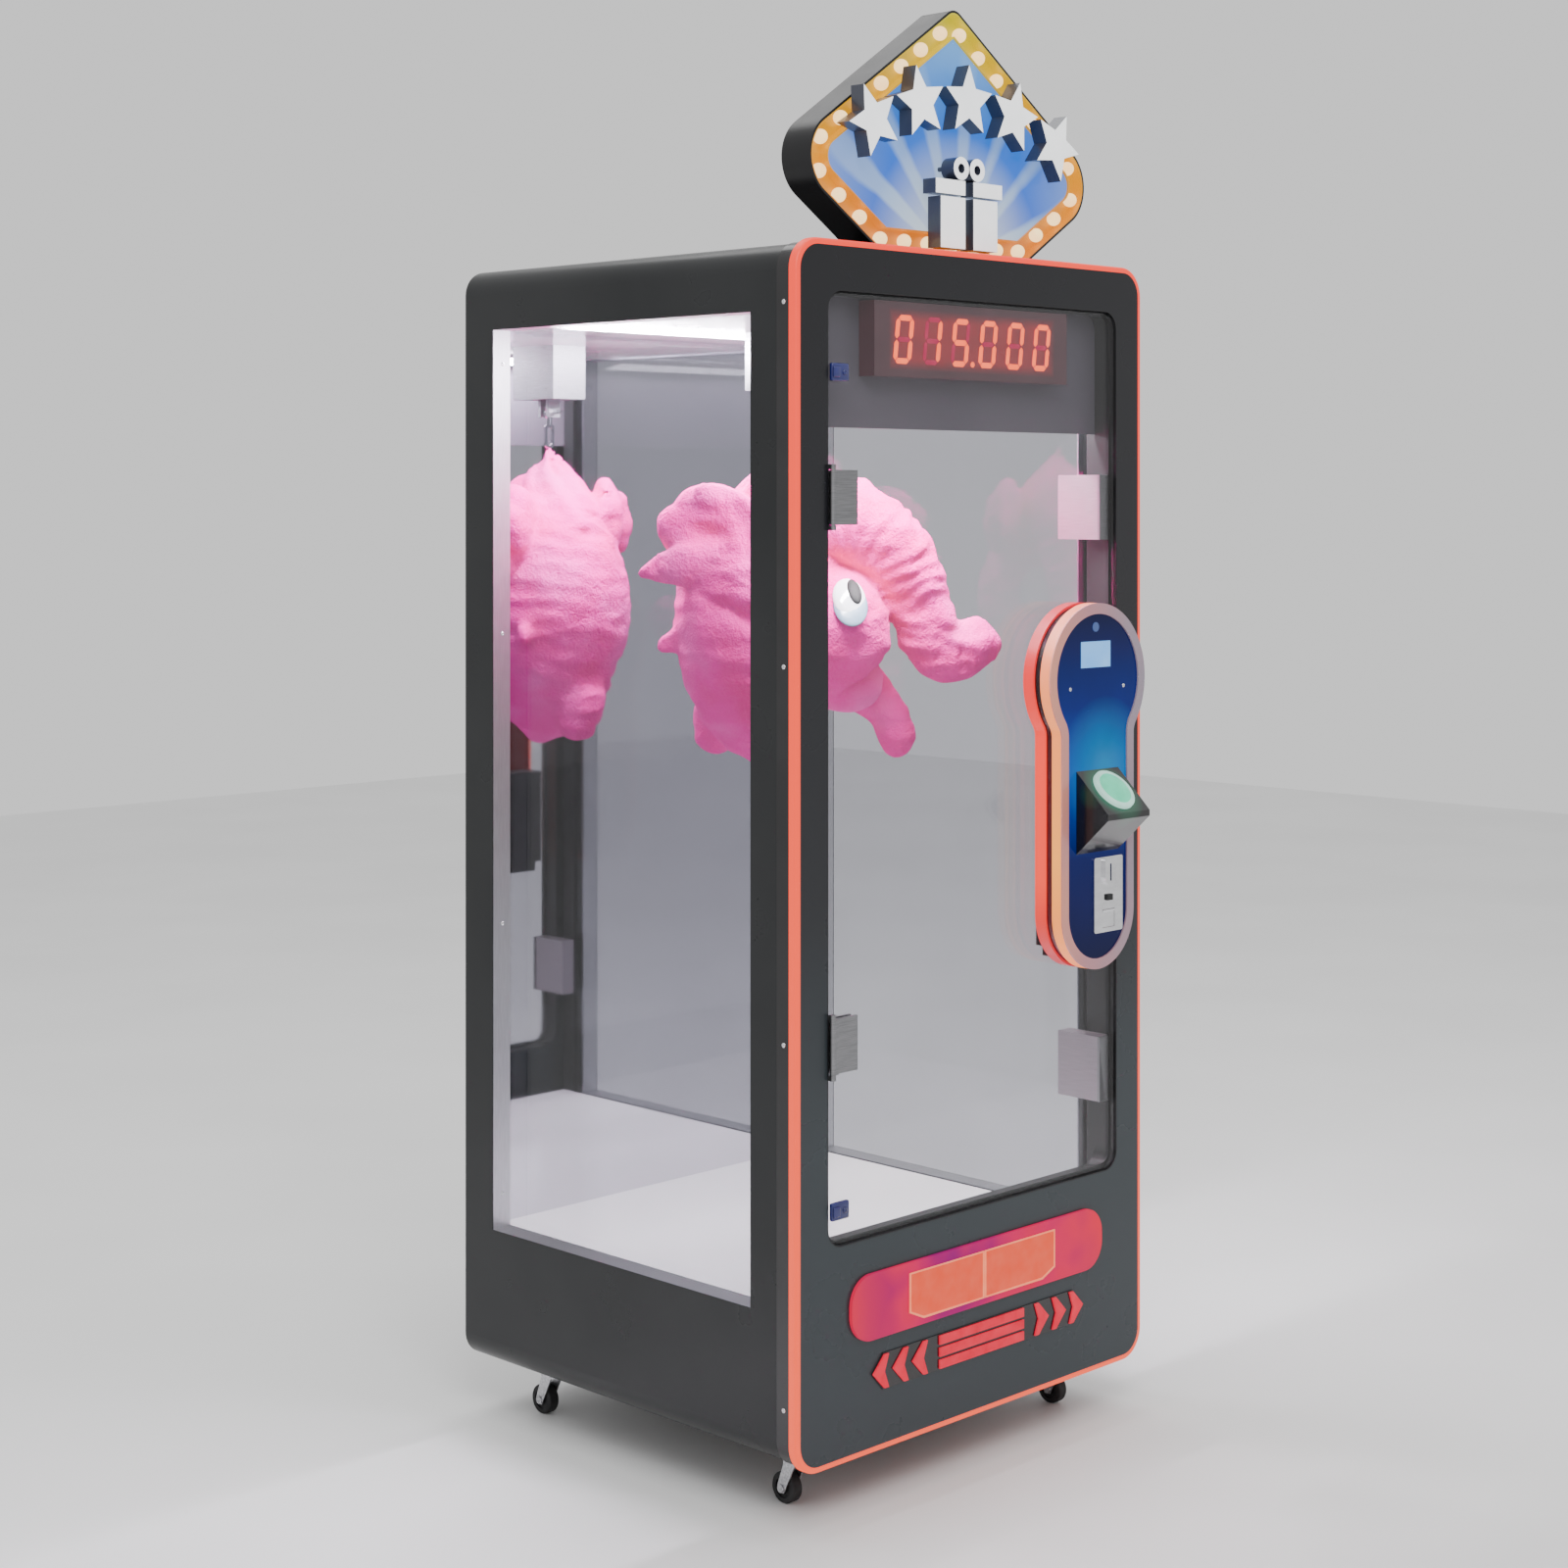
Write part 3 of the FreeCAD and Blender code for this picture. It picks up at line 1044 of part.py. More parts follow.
# ---- casters ------------------------------------------------------------------------------------
def caster_seat(x, y):
    """Pad, plate, race and kingpin of one caster."""
    half = CASTER_PLATE_W / 2
    pad = CASTER_PAD_W / 2
    plate_z = SHELL_Z0 - CASTER_PAD_T
    race_z = FORK_TOP_Z + RACE_GAP
    head_z = FORK_TOP_Z - FORK_T - RACE_GAP
    solids = [block((x - half, x + half), (y - half, y + half), (plate_z - CASTER_PLATE_T, plate_z)),
              rod((x, y, race_z), (x, y, plate_z - CASTER_PLATE_T), RACE_R),
              rod((x, y, head_z), (x, y, race_z), KINGPIN_R),
              rod((x, y, head_z - KINGPIN_HEAD_T), (x, y, head_z), KINGPIN_HEAD_R)]
    spacer = block((x - pad, x + pad), (y - pad, y + pad), (plate_z, SHELL_Z0))
    return [united(solids), spacer]


def caster_fork(x, y):
    """Swivel fork with its axle; the wheel trails to the rear."""
    inner = WHEEL_W / 2 + FORK_SIDE_GAP
    outer = inner + FORK_T
    axle_y = y + FORK_TRAIL
    top = FORK_TOP_Z
    crown = block((x - outer, x + outer), (y - FORK_PLATE_R, y + FORK_PLATE_R), (top - FORK_T, top))
    crown = crown.common(rod((x, y, top - FORK_T), (x, y, top), FORK_PLATE_R))
    pieces = [crown]
    for x0 in (x - outer, x + inner):
        corners = [Vector(x0, y - 12, top - FORK_T), Vector(x0, y + 12, top - FORK_T),
                   Vector(x0, axle_y + 8, WHEEL_R + 4), Vector(x0, axle_y + 6, WHEEL_R - 7),
                   Vector(x0, axle_y - 6, WHEEL_R - 7)]
        face = Part.Face(Part.makePolygon(corners + corners[:1]))
        pieces.append(face.extrude(Vector(FORK_T, 0, 0)))
    fork = united(pieces).cut(rod((x, y, 0), (x, y, top), KINGPIN_R + PIN_CLEARANCE))
    axle = rod((x - outer, axle_y, WHEEL_R), (x + outer, axle_y, WHEEL_R), AXLE_R)
    heads = [rod((end, axle_y, WHEEL_R), (end + step, axle_y, WHEEL_R), AXLE_R + 2.5)
             for end, step in ((x - outer, -2), (x + outer, 2))]
    return united([fork, axle] + heads)


def caster_wheel(x, y):
    centre_y = y + FORK_TRAIL
    half = WHEEL_W / 2
    wheel = rod((x - half, centre_y, WHEEL_R), (x + half, centre_y, WHEEL_R), WHEEL_R)
    wheel = wheel.makeFillet(3.0, wheel.Edges)
    for end in (-1, 1):
        recess = rod((x + end * half, centre_y, WHEEL_R), (x + end * (half - 3), centre_y, WHEEL_R), 16)
        hub = rod((x + end * half, centre_y, WHEEL_R), (x + end * (half - 3), centre_y, WHEEL_R), 9)
        wheel = wheel.cut(recess.cut(hub))
    return wheel.cut(rod((x - half, centre_y, WHEEL_R), (x + half, centre_y, WHEEL_R), HUB_BORE_R))


# ---- rear hatch, inlet and electronics ----------------------------------------------------------
def rear_hatch():
    """Flanged hatch with a pivot pin at each end of its hinge edge."""
    x = (-HATCH_W / 2, HATCH_W / 2)
    z = (HATCH_Z0, HATCH_Z0 + HATCH_H)
    pan = block(x, (BODY_D - HATCH_FLANGE, BODY_D), z).cut(
        block((x[0] + SHEET, x[1] - SHEET), (BODY_D - HATCH_FLANGE, BODY_D - REAR_SHEET),
              (z[0] + SHEET, z[1] - SHEET)))
    lock_hole = rod((LOCK_X, BODY_D - HATCH_FLANGE, HATCH_LOCK_Z), (LOCK_X, BODY_D, HATCH_LOCK_Z),
                    LOCK_R + PIN_CLEARANCE)
    reach = HATCH_EAR_GAP + HATCH_EAR_T
    pins = [rod((HATCH_X, HATCH_Y, z[1] + reach), (HATCH_X, HATCH_Y, z[1] + reach - HATCH_PIN_L),
                HATCH_PIN_R),
            rod((HATCH_X, HATCH_Y, z[0] - reach), (HATCH_X, HATCH_Y, z[0] - reach + HATCH_PIN_L),
                HATCH_PIN_R)]
    return united([pan.cut(lock_hole)] + pins)


def hatch_lock():
    """Lock plug with a key slot and the cam behind it, shown unlocked with the cam upright."""
    y1 = BODY_D - 0.5
    y0 = BODY_D - LOCK_L
    plug = rod((LOCK_X, y0, HATCH_LOCK_Z), (LOCK_X, y1, HATCH_LOCK_Z), LOCK_R)
    key = block((LOCK_X - 1, LOCK_X + 1), (y1 - 6, y1), (HATCH_LOCK_Z - 4, HATCH_LOCK_Z + 4))
    cam = block((LOCK_X - CAM_W / 2, LOCK_X + CAM_W / 2), (y0, y0 + CAM_T),
                (HATCH_LOCK_Z, HATCH_LOCK_Z + CAM_REACH))
    return united([plug.cut(key), cam])


def power_inlet():
    """Three-pin inlet set in from the rear face, with its flange behind the sheet."""
    half_w = INLET_W / 2
    half_h = INLET_H / 2
    flange = block((INLET_X - half_w - INLET_FLANGE, INLET_X + half_w + INLET_FLANGE),
                   (SHELL_Y1 - INLET_FLANGE_T, SHELL_Y1),
                   (INLET_Z - half_h - INLET_FLANGE / 2, INLET_Z + half_h + INLET_FLANGE / 2))
    body = block((INLET_X - half_w, INLET_X + half_w), (SHELL_Y1 - INLET_L, SHELL_Y1),
                 (INLET_Z - half_h, INLET_Z + half_h))
    cavity = block((INLET_X - half_w + INLET_WALL, INLET_X + half_w - INLET_WALL),
                   (SHELL_Y1 - INLET_CAVITY, SHELL_Y1),
                   (INLET_Z - half_h + INLET_WALL, INLET_Z + half_h - INLET_WALL))
    shell = united([flange, body]).cut(cavity)
    pins = [shell]
    for x, z in ((-7, -2), (7, -2), (0, 3)):
        pins.append(block((INLET_X + x - 1, INLET_X + x + 1),
                          (SHELL_Y1 - INLET_CAVITY - 1, SHELL_Y1 - INLET_CAVITY + INLET_PIN_L),
                          (INLET_Z + z - 2, INLET_Z + z + 2)))
    return united(pins)


def base_electronics():
    """Power supply and control box standing on the base cover."""
    boxes = []
    floor = SHELL_Z0 + SHEET
    for x, size in ((-220.0, SUPPLY_SIZE), (30.0, BOARD_BOX_SIZE)):
        y = PRIZE_Y - size[1] / 2
        boxes.append(block((x, x + size[0]), (y, y + size[1]), (floor, floor + size[2])))
    return group(boxes)


# ---- assembly -----------------------------------------------------------------------------------
def build():
    pieces = {}
    pieces.update(shell_panels())
    pieces.update(linings())
    pieces["chassis_tubes"] = chassis()
    pieces["front_panel"] = front_panel()
    pieces["led_strip"] = light_strip()
    pieces["edge_band"] = edge_band()
    pieces["opening_liner"] = opening_liner()
    pieces["rear_panel"] = rear_panel()
    pieces["side_window_frames"] = window_frames()
    pieces["side_windows"] = side_windows()
    pieces["display_housing"], pieces["display_segments"] = display()
    pieces["lamp_lens"], pieces["lamp_inner_lenses"] = lower_lamps()
    pieces["arrow_backplate"], pieces["arrow_lenses"] = arrow_lamps()
    pieces["sign_casing"], pieces["sign_border"], pieces["sign_field"] = sign()
    pieces["sign_bulbs"] = sign_bulbs()
    pieces["sign_emblem"] = sign_emblem()
    pieces["release_housing"], pieces["release_pin"] = release()
    pieces["prize_hook"] = prize_hook()
    pieces["prize_plush"] = prize_plush()
    pieces["door_glass"] = door_glass()
    pieces["lock_boxes"], strikes = magnet_locks()
    hinges = (LOWER_HINGE_Z, UPPER_HINGE_Z)
    clamps = [solid for z in hinges for solid in hinge_clamp(z)]
    pieces["door_fittings"] = group(clamps + strikes)
    pieces["hinge_wall_leaves"] = group([wall_leaf(z) for z in hinges])
    (pieces["console_shell"], pieces["console_led_rings"], pieces["console_bezel"],
     pieces["console_face"], pieces["console_screen"]) = console()
    pieces["button_housing"], pieces["button_ring"], pieces["push_button"] = start_button()
    pieces["coin_plate"], pieces["coin_reject_button"], pieces["coin_return_flap"] = coin_front()
    pieces["coin_box"] = coin_box()
    pieces["rear_hatch"] = rear_hatch()
    pieces["hatch_lock"] = hatch_lock()
    pieces["power_inlet"] = power_inlet()
    pieces["base_electronics"] = base_electronics()
    seats = []
    for side, x in (("left", -CASTER_X), ("right", CASTER_X)):
        for end, y in (("front", CASTER_Y0), ("rear", CASTER_Y1)):
            seats += caster_seat(x, y)
            pieces[f"caster_fork_{end}_{side}"] = caster_fork(x, y)
            pieces[f"caster_wheel_{end}_{side}"] = caster_wheel(x, y)
    pieces["caster_plates"] = group(seats)
    return pieces


os.makedirs("parts", exist_ok=True)
for name, shape in build().items():
    moved(shape, 0, FRONT_Y, 0).exportStep(f"parts/{name}.step")
    print(name, len(shape.Solids), shape.isValid(), [round(v) for v in (
        shape.BoundBox.XMin, shape.BoundBox.XMax, shape.BoundBox.YMin, shape.BoundBox.YMax,
        shape.BoundBox.ZMin, shape.BoundBox.ZMax)])
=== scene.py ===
import math
import bmesh
import bpy
from mathutils import Matrix, Vector, noise


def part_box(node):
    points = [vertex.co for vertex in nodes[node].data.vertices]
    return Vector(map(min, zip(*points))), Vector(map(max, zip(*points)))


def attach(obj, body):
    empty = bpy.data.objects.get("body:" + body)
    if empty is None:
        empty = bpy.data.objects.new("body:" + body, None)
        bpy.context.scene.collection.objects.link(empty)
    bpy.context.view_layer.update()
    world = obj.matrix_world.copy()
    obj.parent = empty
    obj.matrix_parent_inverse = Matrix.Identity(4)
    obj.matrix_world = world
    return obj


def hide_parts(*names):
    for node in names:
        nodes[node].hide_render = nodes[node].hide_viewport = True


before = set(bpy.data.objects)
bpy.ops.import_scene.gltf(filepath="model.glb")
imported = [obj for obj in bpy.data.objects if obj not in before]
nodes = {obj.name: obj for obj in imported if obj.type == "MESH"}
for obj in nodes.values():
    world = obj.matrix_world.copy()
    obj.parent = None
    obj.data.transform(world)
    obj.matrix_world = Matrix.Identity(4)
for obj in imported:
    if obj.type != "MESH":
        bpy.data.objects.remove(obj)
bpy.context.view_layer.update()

FRONT_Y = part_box("front_panel")[0][1]
LEFT_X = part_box("led_strip")[0][0]
BODY_Z0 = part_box("led_strip")[0][2]
BODY_Z1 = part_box("led_strip")[1][2]
PAINT_PEEL = 0.005        # strength of the paint's orange-peel bump
GLASS_ROUGHNESS = 0.02
SPAN_STEPS = 5            # balls between two knots of a stuffed limb
TOY_VOXEL = 0.006         # metres, from here on
SWELL_CAP = 0.012         # how far a point of the toy's skin may move in the cloth simulation
SCREW_R = 0.0035
BAND_SCREW_R = 0.004
CAMERA_LEFT, CAMERA_FRONT, CAMERA_HEIGHT = 2.910, 2.860, 1.498


# ---- materials ----------------------------------------------------------------------------------
class Finish:
    """One procedural material around a Principled shader, with its texture nodes."""

    def __init__(self, name, roughness=0.4, metallic=0.0, coat=0.0, sheen=0.0, specular=0.5):
        self.material = bpy.data.materials.new(name)
        self.material.use_nodes = True
        self.tree = self.material.node_tree
        self.shader = self.tree.nodes["Principled BSDF"]
        self.set(Roughness=roughness, Metallic=metallic)
        self.shader.inputs["Coat Weight"].default_value = coat
        self.shader.inputs["Sheen Weight"].default_value = sheen
        self.shader.inputs["Specular IOR Level"].default_value = specular
        self.place = self.tree.nodes.new("ShaderNodeTexCoord").outputs["Object"]

    def set(self, **values):
        for name, value in values.items():
            self.shader.inputs[name.replace("_", " ")].default_value = value

    def node(self, kind, **inputs):
        made = self.tree.nodes.new("ShaderNode" + kind)
        for name, value in inputs.items():
            socket = made.inputs[name.replace("_", " ")]
            if isinstance(value, bpy.types.NodeSocket):
                self.tree.links.new(value, socket)
            else:
                socket.default_value = value
        return made

    def link(self, source, name):
        self.tree.links.new(source, self.shader.inputs[name])

    def stretched(self, scale):
        return self.node("Mapping", Vector=self.place, Scale=scale).outputs["Vector"]

    def grain(self, scale, detail=4.0, place=None, distortion=0.0):
        made = self.node("TexNoise", Vector=place or self.place, Scale=scale, Detail=detail,
                         Distortion=distortion)
        return made.outputs["Fac"]

    def axis(self, name):
        return self.node("SeparateXYZ", Vector=self.place).outputs[name]

    def math(self, operation, a, b=0.0):
        made = self.tree.nodes.new("ShaderNodeMath")
        made.operation = operation
        for socket, value in zip(made.inputs, (a, b)):
            if isinstance(value, bpy.types.NodeSocket):
                self.tree.links.new(value, socket)
            else:
                socket.default_value = value
        return made.outputs[0]

    def spread(self, value, low, high, to_low=0.0, to_high=1.0):
        made = self.node("MapRange", Value=value)
        for name, number in (("From Min", low), ("From Max", high),
                             ("To Min", to_low), ("To Max", to_high)):
            made.inputs[name].default_value = number
        return made.outputs["Result"]

    def ramp(self, value, *stops):
        made = self.node("ValToRGB", Fac=value)
        band = made.color_ramp
        while len(band.elements) < len(stops):
            band.elements.new(0.5)
        for element, (position, colour) in zip(band.elements, stops):
            element.position = position
            element.color = (*colour, 1.0)
        return made.outputs["Color"]

    def blend(self, factor, a, b):
        made = self.tree.nodes.new("ShaderNodeMix")
        made.data_type = "RGBA"
        for name, value in (("Factor", factor), ("A", a), ("B", b)):
            socket = [s for s in made.inputs if s.name == name and s.type in ("VALUE", "RGBA")]
            socket = socket[0] if name == "Factor" else socket[-1]
            if isinstance(value, bpy.types.NodeSocket):
                self.tree.links.new(value, socket)
            elif name == "Factor":
                socket.default_value = value
            else:
                socket.default_value = (*value, 1.0)
        return [s for s in made.outputs if s.type == "RGBA"][0]

    def colour(self, dark, light, scale=6.0, detail=3.0, place=None):
        """Base colour that wanders softly between two tones."""
        value = self.grain(scale, detail, place)
        self.link(self.ramp(value, (0.35, dark), (0.65, light)), "Base Color")
        return self

    def rough(self, low, high, scale=9.0, place=None):
        self.link(self.spread(self.grain(scale, 5.0, place), 0.3, 0.7, low, high), "Roughness")
        return self

    def bump(self, height, strength, distance=0.001):
        made = self.node("Bump", Height=height, Strength=strength, Distance=distance)
        self.link(made.outputs["Normal"], "Normal")
        return self

    def glow(self, colour, strength):
        if isinstance(colour, bpy.types.NodeSocket):
            self.link(colour, "Emission Color")
        else:
            self.set(Emission_Color=(*colour, 1.0))
        self.set(Emission_Strength=strength)
        return self


def paint(name, dark, light, low, high, orange_peel=PAINT_PEEL):
    """Sprayed paint: soft tone drift, uneven gloss and a fine orange-peel bump."""
    made = Finish(name, specular=0.3)
    made.colour(dark, light, 3.0)
    made.rough(low, high, 7.0)
    made.bump(made.grain(420.0, 2.0), orange_peel, 0.0003)
    return made.material


def front_paint():
    """Charcoal front sheet: lighter and blue-grey in its lower half, near black at its top."""
    made = Finish("front_paint", coat=0.08, specular=0.3)
    height = made.spread(made.axis("Z"), BODY_Z0, BODY_Z1)
    drift = made.math("ADD", height, made.spread(made.grain(2.0), 0.3, 0.7, -0.04, 0.04))
    made.link(made.ramp(drift, (0.0, (0.020, 0.028, 0.033)), (0.25, (0.026, 0.034, 0.039)),
                        (0.5, (0.014, 0.015, 0.018)), (1.0, (0.006, 0.006, 0.008))), "Base Color")
    made.rough(0.24, 0.34, 7.0)
    made.bump(made.grain(420.0, 2.0), PAINT_PEEL, 0.0003)
    return made.material


def plastic(name, dark, light, low=0.2, high=0.35, coat=0.0):
    """Moulded plastic with a faint sheen drift and fine mould grain."""
    made = Finish(name, coat=coat)
    made.colour(dark, light, 14.0)
    made.rough(low, high, 22.0)
    made.bump(made.grain(900.0, 2.0), 0.05, 0.0003)
    return made.material


def brushed(name, dark, light, low, high, along=(1.0, 1.0, 40.0)):
    """Brushed metal: long thin scratches across the direction with the large scale."""
    made = Finish(name, metallic=1.0)
    place = made.stretched(along)
    made.colour(dark, light, 30.0, 6.0, place)
    made.rough(low, high, 60.0, place)
    made.bump(made.grain(120.0, 6.0, place), 0.08, 0.0002)
    return made.material


def clear(name, tint):
    """Clear sheet glass: what is behind shows through a tint, and the surface mirrors at a slant."""
    made = Finish(name)
    tree = made.tree
    tree.nodes.remove(made.shader)
    through = tree.nodes.new("ShaderNodeBsdfTransparent")
    smear = made.ramp(made.grain(2.5, 5.0), (0.3, tint), (0.7, tuple(min(1.0, c * 1.03) for c in tint)))
    tree.links.new(smear, through.inputs["Color"])
    mirror = tree.nodes.new("ShaderNodeBsdfGlossy")
    mirror.inputs["Roughness"].default_value = GLASS_ROUGHNESS
    slant = made.node("LayerWeight", Blend=0.5).outputs["Facing"]
    sheen = made.math("ADD", made.math("MULTIPLY", made.math("POWER", slant, 5.0), 0.9), 0.035)
    both = tree.nodes.new("ShaderNodeMixShader")
    tree.links.new(sheen, both.inputs[0])
    tree.links.new(through.outputs[0], both.inputs[1])
    tree.links.new(mirror.outputs[0], both.inputs[2])
    tree.links.new(both.outputs[0], tree.nodes["Material Output"].inputs["Surface"])
    return made.material


def lit_strip(name, low_colour, high_colour, strength):
    """Diffusing light strip whose colour drifts from its foot to its top, with faint LED spots."""
    made = Finish(name, roughness=0.45)
    height = made.spread(made.axis("Z"), BODY_Z0, BODY_Z1)
    tone = made.ramp(height, (0.0, low_colour), (1.0, high_colour))
    made.link(made.blend(0.7, tone, (0.0, 0.0, 0.0)), "Base Color")
    spots = made.spread(made.grain(60.0, 1.0), 0.3, 0.7, 0.92, 1.05)
    made.glow(made.blend(0.25, tone, made.blend(spots, (0, 0, 0), tone)), strength)
    made.bump(made.grain(700.0, 2.0), 0.04, 0.0003)
    return made.material


def display_red():
    """Smoked red display window, glowing around the digits."""
    made = Finish("display_window", roughness=0.16, coat=0.3)
    low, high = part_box("display_segments")
    centre = [(a + b) / 2 for a, b in zip(low, high)]
    across = made.math("ABSOLUTE", made.math("SUBTRACT", made.axis("X"), centre[0]))
    up = made.math("ABSOLUTE", made.math("SUBTRACT", made.axis("Z"), centre[2]))
    far_x = made.math("SUBTRACT", across, (high[0] - low[0]) / 2 - 0.004)
    far_z = made.math("SUBTRACT", up, (high[2] - low[2]) / 2 - 0.004)
    far = made.math("MAXIMUM", far_x, far_z)
    inside = made.spread(far, -0.004, 0.014, 1.0, 0.0)
    patch = made.spread(made.grain(22.0, 2.0), 0.35, 0.65, 0.75, 1.1)
    glow = made.blend(made.math("MULTIPLY", inside, patch), (0.02, 0.002, 0.005), (0.36, 0.0, 0.003))
    made.link(made.ramp(made.grain(9.0), (0.3, (0.05, 0.012, 0.018)), (0.7, (0.07, 0.02, 0.028))),
              "Base Color")
    return made.glow(glow, 0.9).material


def sign_rays():
    """Printed sign field: white and light-blue rays that fan out from the foot over deep blue."""
    made = Finish("sign_rays", roughness=0.3, specular=0.2)
    low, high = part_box("sign_field")
    x = made.math("SUBTRACT", made.axis("X"), (low[0] + high[0]) / 2 + 0.01)
    z = made.math("SUBTRACT", made.axis("Z"), low[2] - 0.05)
    angle = made.math("ARCTAN2", x, z)
    wave = made.math("SINE", made.math("MULTIPLY", angle, 17.0))
    wobble = made.spread(made.grain(5.0, 3.0), 0.3, 0.7, -0.55, 0.55)
    ray = made.spread(made.math("ADD", wave, wobble), 0.1, 0.75)
    height = made.spread(z, 0.03, 0.40, 0.75, 0.0)
    reach = made.math("SQRT", made.math("ADD", made.math("MULTIPLY", x, x), made.math("MULTIPLY", z, z)))
    core = made.spread(reach, 0.05, 0.22, 1.0, 0.0)
    deep = made.ramp(made.spread(z, 0.05, 0.36), (0.0, (0.02, 0.12, 0.75)), (0.55, (0.03, 0.2, 0.85)),
                     (1.0, (0.15, 0.42, 0.9)))
    pale = made.blend(made.math("MULTIPLY", ray, height), deep, (0.55, 0.78, 0.95))
    side = made.spread(made.math("ABSOLUTE", x), 0.16, 0.30)
    soft = made.blend(made.math("MULTIPLY", side, 0.65), pale, (0.28, 0.42, 0.85))
    tone = made.blend(core, soft, (0.82, 0.93, 0.98))
    made.link(made.blend(0.8, tone, (0.0, 0.0, 0.0)), "Base Color")
    return made.glow(tone, 0.95).material


def sign_gold():
    """Border tray paint, from yellow at the apex to orange at the foot."""
    made = Finish("sign_gold", roughness=0.35, coat=0.2)
    low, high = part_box("sign_border")
    height = made.spread(made.axis("Z"), low[2], high[2])
    tone = made.ramp(height, (0.0, (0.93, 0.24, 0.02)), (0.3, (0.95, 0.36, 0.0)), (0.6, (0.93, 0.47, 0.0)),
                     (1.0, (0.72, 0.64, 0.0)))
    made.link(made.blend(0.6, tone, (0.0, 0.0, 0.0)), "Base Color")
    made.rough(0.25, 0.42, 12.0)
    made.bump(made.grain(300.0, 2.0), 0.05, 0.0005)
    return made.glow(tone, 0.62).material


def emblem_white():
    """White faced channel pieces: bright faces to the front, slate returns at the sides."""
    made = Finish("emblem_white", roughness=0.3, coat=0.2)
    normal = made.tree.nodes.new("ShaderNodeNewGeometry").outputs["Normal"]
    facing = made.node("SeparateXYZ", Vector=normal).outputs["Y"]
    front = made.spread(facing, -0.9, -0.6, 1.0, 0.0)
    face = made.ramp(made.grain(8.0), (0.3, (0.8, 0.82, 0.84)), (0.7, (0.93, 0.94, 0.95)))
    tone = made.blend(front, (0.035, 0.04, 0.06), face)
    made.link(tone, "Base Color")
    return made.glow(made.blend(front, (0.0, 0.0, 0.0), face), 0.7).material


def console_blue():
    """Lit console face: navy at the head, brighter blue and teal towards the button."""
    made = Finish("console_blue", roughness=0.14, coat=0.05, specular=0.15)
    low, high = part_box("console_face")
    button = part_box("button_housing")
    height = made.spread(made.axis("Z"), low[2], high[2])
    tone = made.ramp(height, (0.0, (0.0, 0.002, 0.045)), (0.3, (0.0, 0.006, 0.12)),
                     (0.55, (0.0, 0.07, 0.5)), (0.72, (0.0, 0.015, 0.2)), (1.0, (0.001, 0.003, 0.04)))
    x = made.math("SUBTRACT", made.axis("X"), (button[0][0] + button[1][0]) / 2 + 0.02)
    z = made.math("SUBTRACT", made.axis("Z"), button[1][2] + 0.004)
    reach = made.math("SQRT", made.math("ADD", made.math("MULTIPLY", x, x), made.math("MULTIPLY", z, z)))
    near = made.spread(reach, 0.01, 0.12, 0.85, 0.0)
    tone = made.blend(near, tone, (0.0, 0.28, 0.6))
    shade = made.blend(made.spread(made.grain(16.0, 2.0), 0.3, 0.7, 0.0, 0.12), tone, (0.0, 0.0, 0.02))
    made.link(made.blend(0.9, shade, (0.0, 0.0, 0.0)), "Base Color")
    return made.glow(shade, 0.9).material


def console_strip():
    """Two light strips round the console: coral red at the rear, warm cream in front."""
    made = Finish("console_strip", roughness=0.4)
    low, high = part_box("console_led_rings")
    depth = made.spread(made.axis("Y"), low[1], high[1])
    height = made.spread(made.axis("Z"), low[2], high[2])
    front = made.ramp(height, (0.0, (1.0, 0.22, 0.04)), (0.3, (1.0, 0.36, 0.05)), (0.6, (1.0, 0.28, 0.06)),
                      (1.0, (1.0, 0.24, 0.12)))
    rear = made.ramp(height, (0.0, (0.4, 0.004, 0.02)), (0.25, (0.95, 0.05, 0.02)),
                     (0.6, (0.95, 0.04, 0.02)), (1.0, (0.55, 0.004, 0.02)))
    tone = made.blend(made.spread(depth, 0.45, 0.5), front, rear)
    made.link(made.blend(0.7, tone, (0.0, 0.0, 0.0)), "Base Color")
    made.bump(made.grain(500.0, 2.0), 0.04, 0.0003)
    return made.glow(tone, 1.5).material


def console_sides():
    """Gloss black shell behind the face, with the strips' red light caught between them."""
    made = Finish("console_sides", roughness=0.2, coat=0.1)
    low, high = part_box("console_shell")
    height = made.spread(made.axis("Z"), low[2], high[2])
    made.colour((0.006, 0.004, 0.005), (0.012, 0.009, 0.010), 14.0)
    lit = made.ramp(height, (0.0, (0.12, 0.0, 0.006)), (0.5, (0.16, 0.0, 0.004)),
                    (0.75, (0.01, 0.0, 0.001)))
    return made.glow(lit, 0.8).material


def console_rim():
    """Face ring, painted pale mauve, with painted light that makes it warmer at its left and cooler at its
    right, and a faint painted glow.
    """
    made = Finish("console_rim", coat=0.4)
    low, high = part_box("console_bezel")
    side = made.spread(made.axis("X"), low[0], high[0])
    drift = made.math("ADD", side, made.spread(made.grain(9.0), 0.3, 0.7, -0.08, 0.08))
    tone = made.ramp(drift, (0.0, (0.62, 0.24, 0.16)), (0.35, (0.42, 0.18, 0.20)),
                     (1.0, (0.24, 0.20, 0.25)))
    made.link(tone, "Base Color")
    made.rough(0.14, 0.24, 9.0)
    # The ring is no lamp: its faint glow is painted light.
    return made.glow(tone, 0.15).material


